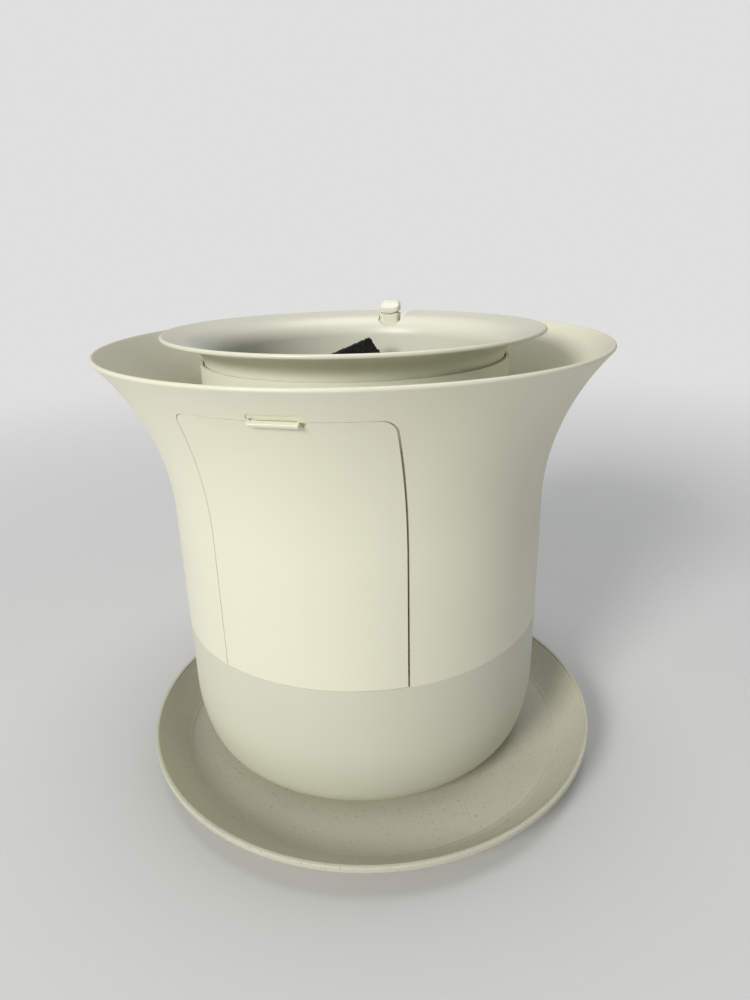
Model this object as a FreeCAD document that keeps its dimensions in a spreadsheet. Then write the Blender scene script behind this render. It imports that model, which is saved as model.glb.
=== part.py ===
import FreeCAD, Part
import Sketcher
import math
import os
import re
from FreeCAD import Placement, Rotation, Vector

# A planter-shaped food dehydrator. The pot stands loose in a saucer. Air goes down the ring-shaped gap
# between the pot and the drying chamber, through the fan and the heater in the bowl, up through the trays
# and out through the carbon filter in the collar's throat. The trays ride on a rack behind the front door.
# Frame: +Z up, the front door faces -Y, the origin is on the pot's axis at the level of the table.

SIZES = {
    # Saucer. The pot stands a little off its centre.
    "saucer_foot_radius": 100,
    "saucer_foot_height": 2,
    "saucer_plate": 3,
    "saucer_floor_radius": 124.8,
    "saucer_radius": 147.2,
    "saucer_lip_height": 17,
    "saucer_lip_band": 3.6,
    "saucer_lip_wall": 2.4,
    "saucer_side_curve": 150,
    "saucer_shift_right": 7.1,
    "saucer_shift_front": 10.3,
    # Pot: lower bowl and upper pot. Heights are above the saucer's floor.
    "body_radius": 115,
    "shell_wall": 2.4,
    "foot_gap": 1,
    "base_turn_height": 19,
    "bowl_curve_top": 48,
    "bowl_curve_radius": 100,
    "seam_height": 92.2,
    "flare_start": 168,
    "flare_radius": 140,
    "rim_radius": 150,
    "base_hole_radius": 70,
    "lap_height": 5.8,
    "lap_wall": 2,
    "lap_clearance": 0.3,
    # Fan deck and the ledge that carries it.
    "deck_height": 84,
    "deck_plate": 3,
    "ledge_width": 9.6,
    "ledge_plate": 3,
    "fan_hole_radius": 60,
    "intake_inner": 93.5,
    "intake_outer": 101.5,
    # Front door.
    "door_opening": 106,
    "door_below_rim": 15.9,
    "door_corner": 6,
    "door_gap": 0.8,
    "door_top_gap": 0.5,
    "lip_width": 24.3,
    "lip_shift": 0.6,
    "lip_band": 2.7,
    "lip_reach": 2.2,
    "lip_root": 0.9,
    "lip_drop": 0.2,
    "recess_width": 26.6,
    "recess_shift": 1.5,
    "recess_band": 3.7,
    "recess_depth": 1.5,
    # Drying chamber.
    "chamber_radius": 91.5,
    "chamber_wall": 1.8,
    "chamber_top": 252.5,
    "chamber_foot": 6.7,
    "chamber_foot_plate": 2.4,
    "window_width": 101,
    "window_sill": 99,
    "window_top": 216,
    "seat_height": 224,
    "seat_width": 3.7,
    "seat_plate": 2,
    # Collar.
    "collar_clearance": 0.7,
    "collar_wall": 2,
    "collar_turn_height": 252.3,
    "collar_turn_radius": 10,
    "collar_sweep_radius": 18.5,
    "collar_middle_slope": 40,
    "collar_rim_slope": 14,
    "collar_brim": 11.8,
    "grille_ledge": 5.3,
    "grille_plate": 2,
    "grille_clearance": 0.3,
    "filter_slot_width": 8,
    "filter_slot_length": 38,
    "filter_slot_gap": 4,
    "notch_base": 91.6,
    "notch_base_width": 16.2,
    "notch_base_curve": 12.5,
    "notch_mouth_left": 8.7,
    "notch_mouth_right": 17,
    "filter_thick": 7.5,
    "tab_height": 19.5,
    "tab_left": 30,
    "tab_left_height": 3.2,
    "tab_peak": 10,
    "tab_right": 24,
    "tab_right_height": 3,
    "tab_thick": 7,
    "tab_set_back": 62,
    "tab_turn": 15.45,
    # Switch post and button.
    "post_width": 15,
    "post_depth": 10,
    "post_centre": 98.5,
    "post_corner": 3,
    "post_wall": 1.6,
    "post_lid": 2,
    "post_top": 267.5,
    "post_shelf_drop": 18,
    "bracket_width": 10,
    "bracket_low": 200,
    "bracket_high": 206,
    "switch_height": 4,
    "button_top": 276,
    "button_travel": 1.2,
    "stem_radius": 2.6,
    # Fan.
    "fan_radius": 60,
    "fan_wall": 3,
    "fan_depth": 28,
    "fan_tip_gap": 1.2,
    "hub_radius": 19,
    "shaft_radius": 2,
    "shaft_clearance": 0.05,
    "fan_base": 3,
    "fan_arm": 8,
    "blade_thick": 1.8,
    "blade_pitch": 38,
    "intake_rib": 8,
    "intake_wide_rib": 18,
    # Heater and chamber floor.
    "heater_height": 9.5,
    "heater_wall": 4,
    "heater_bar_width": 2.4,
    "heater_bar_height": 2.5,
    "coil_wire": 1.4,
    "floor_plate": 2,
    "floor_clearance": 0.4,
    "floor_slot_width": 3.5,
    "floor_slot_length": 32,
    "floor_slot_gap": 3.5,
    # Tray rack.
    "runner_wall": 1.7,
    "runner_base": 1.1,
    "runner_height": 8.4,
    "slide_clearance": 0.3,
    "rack_half": 48,
    "rack_plate": 2,
    "rack_top": 214,
    "rack_back": 72,
    "tray_first": 104.5,
    "tray_pitch": 27,
    "tray_ledge": 3.4,
    "tray_ledge_plate": 1.5,
    "tray_clearance": 0.4,
    "tray_back": 70,
    "tray_front": 74,
    "tray_rim": 7,
    "tray_wall": 1.2,
    "tray_flange": 4,
    "tray_sheet": 0.7,
    "tray_hole": 6,
    "tray_hole_gap": 2,
    "window_half": 16,
    "window_pitch": 44,
    "magnet_width": 5,
    "magnet_depth": 6,
    "keeper_gap": 0.3,
    "keeper_plate": 1.5,
    "spacer_radius": 4,
    "spacer_across": 36,
    # Base, board, inlet, feet and screws.
    "base_lap": 8,
    "foot_radius": 8,
    "foot_circle": 79,
    "board_height": 20,
    "board_width": 84,
    "board_depth": 60,
    "board_plate": 1.6,
    "inlet_height": 60,
    "inlet_radius": 6,
    "inlet_flange": 9,
    "inlet_length": 20,
    "inlet_bore": 2.75,
    "inlet_bore_depth": 10,
    "screw_radius": 1.5,
    "screw_head": 3,
    "screw_head_height": 1.6,
}
TRAY_COUNT = 4
ALONG_Y = Rotation(Vector(1, 0, 0), -90)

doc = FreeCAD.newDocument("FoodDehydrator")
sheet = doc.addObject("Spreadsheet::Sheet", "Sizes")
for row, (alias, size) in enumerate(SIZES.items(), start=1):
    sheet.set(f"A{row}", alias)
    sheet.set(f"B{row}", str(size))
    sheet.setAlias(f"B{row}", alias)
doc.recompute()

ALIAS = re.compile(r"\b(" + "|".join(sorted(SIZES, key=len, reverse=True)) + r")\b")
parts = {}


def bound(expression):
    """An expression over the sheet, from one written with bare size names."""
    return ALIAS.sub(r"Sizes.\1", str(expression))


def number(expression):
    """The present value of an expression over the sheet."""
    value = sheet.evalExpression(bound(expression))
    return float(getattr(value, "Value", value))


def place(obj, x=0, y=0, z=0, turn=None):
    """Put an object at a point given by expressions, turned first if a rotation is given."""
    if turn is not None:
        obj.Placement = Placement(Vector(), turn)
    for letter, expression in (("x", x), ("y", y), ("z", z)):
        obj.setExpression(f"Placement.Base.{letter}", bound(expression))
    return obj


def box(name, x, y, z):
    """A box from three (low, high) pairs of expressions."""
    obj = doc.addObject("Part::Box", name)
    for side, (low, high) in (("Length", x), ("Width", y), ("Height", z)):
        obj.setExpression(side, bound(f"({high}) - ({low})"))
    return place(obj, x[0], y[0], z[0])


def rod(name, radius, low, high, x=0, y=0):
    """An upright cylinder from one height to another."""
    obj = doc.addObject("Part::Cylinder", name)
    obj.setExpression("Radius", bound(radius))
    obj.setExpression("Height", bound(f"({high}) - ({low})"))
    return place(obj, x, y, low)


def rod_back(name, radius, front, back, x, z):
    """A cylinder that lies along +Y."""
    obj = doc.addObject("Part::Cylinder", name)
    obj.setExpression("Radius", bound(radius))
    obj.setExpression("Height", bound(f"({back}) - ({front})"))
    return place(obj, x, front, z, ALONG_Y)


def cut(name, base, *tools):
    """A body less its tools. Tools that don't meet are grouped first."""
    obj = doc.addObject("Part::Cut", name)
    obj.Base = base
    obj.Tool = tools[0] if len(tools) == 1 else group(f"{name}_tools", *tools)
    return obj


def common(name, base, tool):
    obj = doc.addObject("Part::Common", name)
    obj.Base = base
    obj.Tool = tool
    return obj


def fuse(name, *shapes):
    obj = doc.addObject("Part::MultiFuse", name)
    obj.Shapes = list(shapes)
    return obj


def group(name, *shapes):
    """Separate solids kept together, such as a set of screws."""
    obj = doc.addObject("Part::Compound", name)
    obj.Links = list(shapes)
    return obj


def origin_plane(body, role):
    return next(item for item in body.Origin.OriginFeatures if item.Role == role)


def outline(body, name, role, points, arcs=None):
    """A closed sketch through points given as pairs of expressions.

    arcs maps the number of an edge to (radius, side): side is +1 where the arc bulges to the left of
    the way from its first point to its second, and -1 where it bulges to the right."""
    sketch = body.newObject("Sketcher::SketchObject", name)
    sketch.AttachmentSupport = [(origin_plane(body, role), "")]
    sketch.MapMode = "FlatFace"
    add_loop(sketch, points, arcs or {})
    return sketch


def add_loop(sketch, points, arcs):
    """Add one closed loop to a sketch and bind every point and radius to the sheet."""
    spots = [Vector(number(a), number(b), 0) for a, b in points]
    first = sketch.GeometryCount
    for index, start in enumerate(spots):
        end = spots[(index + 1) % len(spots)]
        if index in arcs:
            radius, side = arcs[index]
            sketch.addGeometry(bend(start, end, number(radius), side), False)
        else:
            sketch.addGeometry(Part.LineSegment(start, end), False)
    for index, (across, along) in enumerate(points):
        edge = first + index
        # An arc drawn the other way round has its two ends swapped.
        begin = end_at(sketch, edge, spots[index])
        before = first + (index - 1) % len(points)
        sketch.addConstraint(Sketcher.Constraint("Coincident", before, end_at(sketch, before, spots[index]),
                                                 edge, begin))
        for kind, expression in (("DistanceX", across), ("DistanceY", along)):
            value = number(expression)
            number_of = sketch.addConstraint(Sketcher.Constraint(kind, -1, 1, edge, begin, value))
            sketch.setExpression(f"Constraints[{number_of}]", bound(expression))
        if index in arcs:
            radius = arcs[index][0]
            number_of = sketch.addConstraint(Sketcher.Constraint("Radius", edge, number(radius)))
            sketch.setExpression(f"Constraints[{number_of}]", bound(radius))


def bend(start, end, radius, side):
    """The shorter arc of a radius between two points, drawn the anticlockwise way that a sketch wants."""
    chord = end - start
    half = chord.Length / 2
    across = Vector(chord.y, -chord.x, 0) * (side / chord.Length)
    centre = start + chord * 0.5 + across * max(radius ** 2 - half ** 2, 0) ** 0.5
    near, far = (end, start) if side > 0 else (start, end)
    angles = [math.atan2(spot.y - centre.y, spot.x - centre.x) for spot in (near, far)]
    if angles[1] < angles[0]:
        angles[1] += 2 * math.pi
    return Part.ArcOfCircle(Part.Circle(centre, Vector(0, 0, 1), radius), *angles)


def end_at(sketch, edge, spot):
    """1 or 2: which end of an edge lies at a point."""
    return 1 if sketch.Geometry[edge].StartPoint.distanceToPoint(spot) < 1e-6 else 2


def turned(name, points, arcs=None):
    """A body turned about the pot's axis from an outline of (radius, height) pairs."""
    body = doc.addObject("PartDesign::Body", name)
    sketch = outline(body, f"{name}_outline", "XZ_Plane", points, arcs)
    turning = body.newObject("PartDesign::Revolution", f"{name}_turning")
    turning.Profile = sketch
    turning.ReferenceAxis = (sketch, ["V_Axis"])
    turning.Angle = 360
    return body


def padded(name, role, depth, points, arcs=None, hole=None):
    """A body made by padding an outline, with a second loop as its hole if one is given."""
    body = doc.addObject("PartDesign::Body", name)
    sketch = outline(body, f"{name}_outline", role, points, arcs)
    if hole:
        add_loop(sketch, *hole)
    pad = body.newObject("PartDesign::Pad", f"{name}_pad")
    pad.Profile = sketch
    pad.setExpression("Length", bound(depth))
    return body


def rounded(half_x, half_y, corner, centre_x="0", centre_y="0"):
    """The points and arcs of a rounded rectangle about a centre."""
    x_out, x_in = f"({half_x})", f"({half_x} - {corner})"
    y_out, y_in = f"({half_y})", f"({half_y} - {corner})"
    signs = ((1, -1, "side"), (1, 1, "side"), (1, 1, "end"), (-1, 1, "end"),
             (-1, 1, "side"), (-1, -1, "side"), (-1, -1, "end"), (1, -1, "end"))
    points = []
    for sign_x, sign_y, where in signs:
        x = x_out if where == "side" else x_in
        y = y_in if where == "side" else y_out
        points.append((f"{centre_x} + {sign_x} * {x}", f"{centre_y} + {sign_y} * {y}"))
    return points, {edge: (corner, -1) for edge in (1, 3, 5, 7)}


def node(name, obj, height="0"):
    """Name a finished sub-part of the pot. Its heights count from the saucer's floor, so it is lifted."""
    obj.Label = name
    obj.setExpression("Placement.Base.z", bound(f"{height} + saucer_foot_height + saucer_plate"))
    parts[name] = obj


# --- Saucer: one moulded dish with a low foot, sloping sides and a banded lip.
saucer_floor = "(saucer_foot_height + saucer_plate)"
saucer_lip = f"({saucer_floor} + saucer_lip_height)"
saucer = turned("SaucerDish", [
    ("0", "0"),
    ("saucer_foot_radius", "0"),
    ("saucer_foot_radius", "saucer_foot_height"),
    ("saucer_floor_radius", "saucer_foot_height"),
    ("saucer_radius - saucer_lip_wall", f"{saucer_lip} - saucer_lip_band"),
    ("saucer_radius", f"{saucer_lip} - saucer_lip_band"),
    ("saucer_radius", saucer_lip),
    ("saucer_radius - saucer_lip_wall", saucer_lip),
    ("saucer_floor_radius", saucer_floor),
    ("0", saucer_floor),
], {3: ("saucer_side_curve", -1), 7: ("saucer_side_curve", 1)})
place(saucer, "saucer_shift_right", "-saucer_shift_front", 0)
saucer.Label = "saucer"
parts["saucer"] = saucer

# --- Shell of the pot. One outline runs from the seam to the rim: straight, then a flare.
inner_body = "(body_radius - shell_wall)"
flare_cos = "(1 - (rim_radius - body_radius) / flare_radius)"
flare_sin = f"sqrt(1 - {flare_cos} ^ 2)"
rim_height = f"(flare_start + flare_radius * {flare_sin})"
door_top = f"({rim_height} - door_below_rim)"
inner_flare = "(flare_radius + shell_wall)"
rim_inner_radius = f"(body_radius + flare_radius - {inner_flare} * {flare_cos})"
rim_inner_height = f"(flare_start + {inner_flare} * {flare_sin})"


def upper_shell(name):
    return turned(name, [
        (inner_body, "seam_height"),
        ("body_radius", "seam_height"),
        ("body_radius", "flare_start"),
        ("rim_radius", rim_height),
        (rim_inner_radius, rim_inner_height),
        (inner_body, "flare_start"),
    ], {2: ("flare_radius", 1), 3: ("0.6 * shell_wall", -1), 4: (inner_flare, -1)})


def front_prism(name, half_width, low, high, corner):
    """An upright prism through the front wall with its two top corners rounded."""
    points = [
        (f"-({half_width})", low),
        (half_width, low),
        (half_width, f"{high} - {corner}"),
        (f"{half_width} - {corner}", high),
        (f"-({half_width}) + {corner}", high),
        (f"-({half_width})", f"{high} - {corner}"),
    ]
    return padded(name, "XZ_Plane", "2 * rim_radius", points, {2: (corner, -1), 4: (corner, -1)})


# The finger recess and the finger lip lie square to the flare's slope at their height.
def on_flare(obj, height, depth, across):
    """Put an object on the flare's outer face, sunk by a depth and moved across, leaning with it."""
    lean = f"asin(({height} - flare_start) / flare_radius)"
    reach = f"(body_radius + flare_radius - (flare_radius + ({depth})) * cos({lean}))"
    rise = f"(flare_start + (flare_radius + ({depth})) * sin({lean}))"
    obj.Placement = Placement(Vector(), Rotation(Vector(1, 0, 0), 1))
    obj.setExpression("Placement.Rotation.Angle", bound(lean))
    obj.setExpression("Placement.Base.x", bound(across))
    obj.setExpression("Placement.Base.y", bound(f"-{reach}"))
    obj.setExpression("Placement.Base.z", bound(rise))
    return obj


opening = front_prism("DoorOpening", "door_opening / 2", "seam_height - lap_height", door_top,
                      "door_corner")
recess_points, recess_arcs = rounded("recess_width / 2", "recess_band / 2", "1.7")
recess = padded("FingerRecess", "XZ_Plane", "recess_depth + 6", recess_points, recess_arcs)
on_flare(recess, f"{door_top} + recess_band / 2", "recess_depth", "recess_shift")
node("upper_pot", cut("PotCut", upper_shell("PotShell"), opening, recess))

# --- Lower bowl: rounded bottom, thick inner band with the deck's ledge, and a lap behind the pot's seam.
turn_cos = "sqrt(1 - ((bowl_curve_top - base_turn_height) / bowl_curve_radius) ^ 2)"
turn_sin = "((bowl_curve_top - base_turn_height) / bowl_curve_radius)"
turn_radius = f"(body_radius - bowl_curve_radius * (1 - {turn_cos}))"
base_bend = f"((base_turn_height - foot_gap) / (1 - {turn_sin}))"
base_flat = f"({turn_radius} - {base_bend} * {turn_cos})"
inner_bend = f"({base_bend} - shell_wall)"
inner_turn_radius = f"({turn_radius} - shell_wall * {turn_cos})"
inner_turn_height = f"(base_turn_height + shell_wall * {turn_sin})"
base_top = "(foot_gap + shell_wall)"
lap_outer = f"({inner_body} - lap_clearance)"
lap_inner = f"({lap_outer} - lap_wall)"
ledge_inner = f"({inner_body} - ledge_width)"
ledge_under = "(deck_height - ledge_plate)"
bowl = turned("BowlShell", [
    ("base_hole_radius", "foot_gap"),
    (base_flat, "foot_gap"),
    (turn_radius, "base_turn_height"),
    ("body_radius", "bowl_curve_top"),
    ("body_radius", "seam_height"),
    (lap_outer, "seam_height"),
    (lap_outer, "seam_height + lap_height"),
    (lap_inner, "seam_height + lap_height"),
    (lap_inner, "deck_height"),
    (ledge_inner, "deck_height"),
    (ledge_inner, ledge_under),
    (inner_body, f"{ledge_under} - ledge_width * 0.8"),
    (inner_body, "bowl_curve_top"),
    (inner_turn_radius, inner_turn_height),
    (base_flat, base_top),
    ("base_hole_radius", base_top),
], {
    1: (base_bend, -1),
    2: ("bowl_curve_radius", -1),
    12: ("bowl_curve_radius - shell_wall", 1),
    13: (inner_bend, 1),
})


def around(count, start=0):
    """Even directions about the pot's axis, in degrees."""
    return [start + 360 / count * index for index in range(count)]


def rods_around(name, count, circle, radius, low, high, start=45):
    """Upright rods spaced evenly on a circle."""
    rods = []
    for index, angle in enumerate(around(count, start)):
        x = f"({circle}) * cos({angle} deg)"
        y = f"({circle}) * sin({angle} deg)"
        rods.append(rod(f"{name}_{index}", radius, low, high, x, y))
    return rods


def screws(name, count, circle, under_head, length, start=45, down=True):
    """Pan-head screws on a circle, with their heads above the seat, or below it if down is False."""
    head_end = "+ screw_head_height" if down else "- screw_head_height"
    tip = f"- ({length})" if down else f"+ ({length})"
    ends = [(under_head, f"{under_head} {head_end}"), (f"{under_head} {tip}", under_head)]
    if not down:
        ends = [(f"{under_head} {head_end}", under_head), (under_head, f"{under_head} {tip}")]
    heads = rods_around(f"{name}_head", count, circle, "screw_head", *ends[0], start=start)
    shanks = rods_around(f"{name}_shank", count, circle, "screw_radius", *ends[1], start=start)
    pairs = [fuse(f"{name}_{index}", *pair) for index, pair in enumerate(zip(heads, shanks))]
    return group(name, *pairs)


base_screw_circle = "(base_hole_radius + base_lap / 2)"
deck_screw_circle = f"({lap_inner} - screw_head - 0.6)"
inlet_hole = rod_back("InletHole", "inlet_radius + 0.2", "body_radius - inlet_length",
                      "body_radius + inlet_length", "0", "inlet_height")
deck_holes = rods_around("DeckHole", 4, deck_screw_circle, "screw_radius", ledge_under, "deck_height")
base_holes = rods_around("BaseHole", 4, base_screw_circle, "screw_radius", "foot_gap", base_top)
base_sinks = rods_around("BaseSink", 4, base_screw_circle, "screw_head + 0.2", "foot_gap",
                         "foot_gap + screw_head_height")
node("lower_bowl", cut("BowlCut", bowl, inlet_hole, *deck_holes, fuse("BaseDrill", *base_holes, *base_sinks)))
feet = rods_around("Foot", 4, "foot_circle", "foot_radius", "0", "foot_gap", start=0)
node("rubber_feet", group("Feet", *feet))

# --- Base plate: drops on the bowl's base flange from inside and closes its hole.
plate_top = f"({base_top} + shell_wall)"
plate = turned("BasePlate", [
    ("0", "foot_gap + 0.4"),
    ("base_hole_radius - lap_clearance", "foot_gap + 0.4"),
    ("base_hole_radius - lap_clearance", base_top),
    ("base_hole_radius + base_lap", base_top),
    ("base_hole_radius + base_lap", plate_top),
    ("0", plate_top),
])
board_top = "(board_height + board_plate)"
board_screw_tip = "(board_height - 6)"
board_corners = [(f"{sign_x} * (board_width / 2 - 5)", f"{sign_y} * (board_depth / 2 - 5)")
                 for sign_x in (-1, 1) for sign_y in (-1, 1)]
board_posts = [rod("BoardPost", "screw_head + 0.5", plate_top, "board_height", x, y)
               for x, y in board_corners]
board_pilots = [rod("BoardPilot", "screw_radius", board_screw_tip, "board_height", x, y)
                for x, y in board_corners]
plate_drill = rods_around("PlateDrill", 4, base_screw_circle, "screw_radius", base_top, plate_top)
node("base_plate", cut("BasePlateCut", fuse("BasePlateBody", plate, *board_posts),
                       *plate_drill, *board_pilots))
node("base_screws", screws("BaseScrew", 4, base_screw_circle, "(foot_gap + screw_head_height)",
                           f"{plate_top} - foot_gap - screw_head_height", down=False))

# --- Control board with its parts, and the power inlet at the back.
board = box("BoardSheet", ("-board_width / 2", "board_width / 2"), ("-board_depth / 2", "board_depth / 2"),
            ("board_height", board_top))
board_drill = [rod("BoardHole", "screw_radius", "board_height", board_top, x, y) for x, y in board_corners]
node("control_board", cut("BoardCut", board, *board_drill))
node("board_screws", group("BoardScrews", *[
    fuse("BoardScrew",
         rod("BoardScrewHead", "screw_head", board_top, f"{board_top} + screw_head_height", x, y),
         rod("BoardScrewShank", "screw_radius", board_screw_tip, board_top, x, y))
    for x, y in board_corners]))
# Each capacitor is (radius, height, x, y); each block is (x from, x to, y from, y to, height).
CAPACITORS = [(6, 15, -20, 12), (5, 12, -6, 14)]
BLOCKS = {"Relay": (8, 27, 4, 19, 14), "Chip": (-14, 0, -14, -4, 2),
          "FanPlug": (12, 26, -24, -18, 8), "HeaterPlug": (-28, -18, -24, -18, 8)}
capacitors = [rod("Capacitor", str(radius), board_top, f"{board_top} + {height}", str(x), str(y))
              for radius, height, x, y in CAPACITORS]
blocks = [box(name, (str(left), str(right)), (str(front), str(back)), (board_top, f"{board_top} + {height}"))
          for name, (left, right, front, back, height) in BLOCKS.items()]
node("board_components", group("Components", *capacitors, *blocks))
inlet_flat = "(body_radius + 0.02)"
inlet_back = f"({inlet_flat} + 2)"
inlet_front = f"({inlet_flat} - inlet_length)"
inlet_body = fuse(
    "InletBody",
    rod_back("InletBarrel", "inlet_radius", inlet_front, inlet_flat, "0", "inlet_height"),
    rod_back("InletFlange", "inlet_flange", inlet_flat, inlet_back, "0", "inlet_height"),
)
inlet_shell = cut("InletShell", inlet_body,
                  rod_back("InletBore", "inlet_bore", f"{inlet_back} - inlet_bore_depth", inlet_back, "0",
                           "inlet_height"))
inlet_pin = rod_back("InletPin", "1", f"{inlet_back} - inlet_bore_depth - 0.5", f"{inlet_back} - 1", "0",
                     "inlet_height")
node("dc_inlet", fuse("Inlet", inlet_shell, inlet_pin))
nut_back = f"({inner_body} - inlet_flange ^ 2 / {inner_body} * 0.6)"
node("inlet_nut", cut("InletNut",
                      rod_back("NutDisc", "inlet_flange", f"{nut_back} - 3", nut_back, "0", "inlet_height"),
                      rod_back("NutBore", "inlet_radius", f"{nut_back} - 3", nut_back, "0", "inlet_height")))

# --- Fan deck: a plate on the bowl's ledge with the fan's hole and a ring of intake slots.
deck_top = "(deck_height + deck_plate)"
deck = turned("DeckPlate", [
    ("fan_hole_radius", "deck_height"),
    (f"{lap_inner} - lap_clearance", "deck_height"),
    (f"{lap_inner} - lap_clearance", deck_top),
    ("fan_hole_radius", deck_top),
])
SLOT_COUNT = 14
slot_ring = turned("SlotRing", [
    ("intake_inner", "deck_height"),
    ("intake_outer", "deck_height"),
    ("intake_outer", deck_top),
    ("intake_inner", deck_top),
])
ribs = []
for index, angle in enumerate(around(SLOT_COUNT, 90)):
    # The first rib is wide enough to carry the switch post.
    width = "intake_rib" if index else "intake_wide_rib"
    rib = box(f"SlotRib_{index}", ("0", "intake_outer + 4"), ("0", width), ("deck_height", deck_top))
    rib.Placement = Placement(Vector(), Rotation(Vector(0, 0, 1), angle))
    rib.setExpression("Placement.Base.x", bound(f"{width} / 2 * sin({angle} deg)"))
    rib.setExpression("Placement.Base.y", bound(f"-{width} / 2 * cos({angle} deg)"))
    rib.setExpression("Placement.Base.z", bound("deck_height"))
    ribs.append(rib)
slots = cut("Slots", slot_ring, fuse("SlotRibs", *ribs))
deck_drill = rods_around("DeckDrill", 4, deck_screw_circle, "screw_radius", "deck_height", deck_top)
chamber_inner = "(chamber_radius - chamber_wall)"
tube_screw_circle = f"({chamber_inner} - chamber_foot / 2)"
tube_drill = rods_around("TubeDrill", 4, tube_screw_circle, "screw_radius", "deck_height", deck_top, start=60)
node("fan_deck", cut("DeckCut", deck, slots, *deck_drill, *tube_drill))
node("deck_screws", screws("DeckScrew", 4, deck_screw_circle, deck_top, "deck_plate + ledge_plate"))

# --- Fan: a ring under the deck with three arms, a bearing post, a motor winding and a bladed rotor.
fan_bottom = "(deck_height - fan_depth)"
motor_floor = f"({fan_bottom} + fan_base)"
ring = cut("FanRing", rod("FanRingOuter", "fan_radius + fan_wall", fan_bottom, "deck_height"),
           rod("FanRingInner", "fan_radius", fan_bottom, "deck_height"))
arms = []
for angle in around(3, 30):
    arm = box("FanArm", ("0", "fan_radius + fan_wall / 2"), ("0", "fan_arm"), (fan_bottom, motor_floor))
    arm.Placement = Placement(Vector(), Rotation(Vector(0, 0, 1), angle))
    arm.setExpression("Placement.Base.x", bound(f"fan_arm / 2 * sin({angle} deg)"))
    arm.setExpression("Placement.Base.y", bound(f"-fan_arm / 2 * cos({angle} deg)"))
    arm.setExpression("Placement.Base.z", bound(fan_bottom))
    arms.append(arm)
bearing_top = f"({fan_bottom} + fan_depth * 0.7)"
fan_body = fuse("FanFrameBody", ring, *arms,
                rod("MotorBase", "hub_radius + 1", fan_bottom, motor_floor),
                rod("BearingPost", "shaft_radius + 2.5", fan_bottom, bearing_top))
node("fan_frame", cut("FanFrame", fan_body,
                      rod("BearingBore", "shaft_radius + shaft_clearance", f"{fan_bottom} + 1", bearing_top)))
node("fan_motor", cut("FanMotor",
                      rod("WindingOuter", "hub_radius - 4", motor_floor, f"{bearing_top} - 2"),
                      rod("WindingInner", "shaft_radius + 2.5", motor_floor, f"{bearing_top} - 2")))
rotor_bottom = f"({motor_floor} + 1)"
rotor_top = "(deck_height - 1.5)"
cup = cut("HubCup", rod("HubOuter", "hub_radius", rotor_bottom, rotor_top),
          rod("HubHollow", "hub_radius - 2.5", rotor_bottom, f"{bearing_top} + 1"))
cup_bored = cut("HubBored", cup, rod("HubBore", "shaft_radius", f"{bearing_top} + 1", rotor_top))
blades = []
half_run = "fan_depth / 2 * cos(blade_pitch * 1 deg)"
half_rise = "fan_depth / 2 * sin(blade_pitch * 1 deg)"
for index, angle in enumerate(around(7)):
    blade = doc.addObject("Part::Box", f"Blade_{index}")
    blade.setExpression("Length", bound("fan_radius"))
    blade.setExpression("Width", bound("fan_depth"))
    blade.setExpression("Height", bound("blade_thick"))
    pitch = Rotation(Vector(0, 0, 1), angle).multiply(Rotation(Vector(1, 0, 0), number("blade_pitch")))
    blade.Placement = Placement(Vector(), pitch)
    blade.setExpression("Placement.Base.x", bound(f"{half_run} * sin({angle} deg)"))
    blade.setExpression("Placement.Base.y", bound(f"-{half_run} * cos({angle} deg)"))
    blade.setExpression("Placement.Base.z", bound(f"({rotor_bottom} + {rotor_top}) / 2 - {half_rise}"))
    blades.append(blade)
blade_zone = cut("BladeZone", rod("BladeZoneOuter", "fan_radius - fan_tip_gap", rotor_bottom, rotor_top),
                 rod("BladeZoneInner", "hub_radius - 1", rotor_bottom, rotor_top))
blade_set = common("BladeSet", fuse("Blades", *blades), blade_zone)
node("fan_rotor", fuse("FanRotor", cup_bored, blade_set))
node("fan_shaft", group("FanShaft", rod("Shaft", "shaft_radius", f"{fan_bottom} + 1.5", rotor_top)))

# --- Heater: a ring on the deck with three cross bars, two round coils and a thermal cut-out.
heater_top = f"({deck_top} + heater_height)"
heater_ring = cut("HeaterRing", rod("HeaterRingOuter", "fan_hole_radius + heater_wall", deck_top, heater_top),
                  rod("HeaterRingInner", "fan_hole_radius", deck_top, heater_top))
bars = []
bar_top = f"({deck_top} + heater_bar_height)"
bar_half = "(fan_hole_radius + 1)"
for angle in around(3):
    bar = box("HeaterBar", (f"-{bar_half}", bar_half), ("0", "heater_bar_width"), (deck_top, bar_top))
    bar.Placement = Placement(Vector(), Rotation(Vector(0, 0, 1), angle))
    along, aside = (f"cos({angle} deg)", f"sin({angle} deg)")
    bar.setExpression("Placement.Base.x", bound(f"-{bar_half} * {along} + heater_bar_width / 2 * {aside}"))
    bar.setExpression("Placement.Base.y", bound(f"-{bar_half} * {aside} - heater_bar_width / 2 * {along}"))
    bar.setExpression("Placement.Base.z", bound(deck_top))
    bars.append(bar)
node("heater_frame", fuse("HeaterFrame", heater_ring, *bars))
coils = []
for share in (0.4, 0.75):
    coil = doc.addObject("Part::Torus", "HeaterCoil")
    coil.setExpression("Radius1", bound(f"fan_hole_radius * {share}"))
    coil.setExpression("Radius2", bound("coil_wire"))
    coils.append(place(coil, z=f"{bar_top} + coil_wire"))
node("heater_coils", group("HeaterCoils", *coils))
node("thermal_cutout", group("ThermalCutout",
                             box("CutoutBody", ("-8", "8"), ("-4", "4"), (bar_top, f"{bar_top} + 4.5"))))

# --- Chamber floor: a slotted plate on the heater's ring.
floor_top = f"({heater_top} + floor_plate)"
floor_disc = rod("FloorDisc", f"{chamber_inner} - floor_clearance", heater_top, floor_top)


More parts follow.
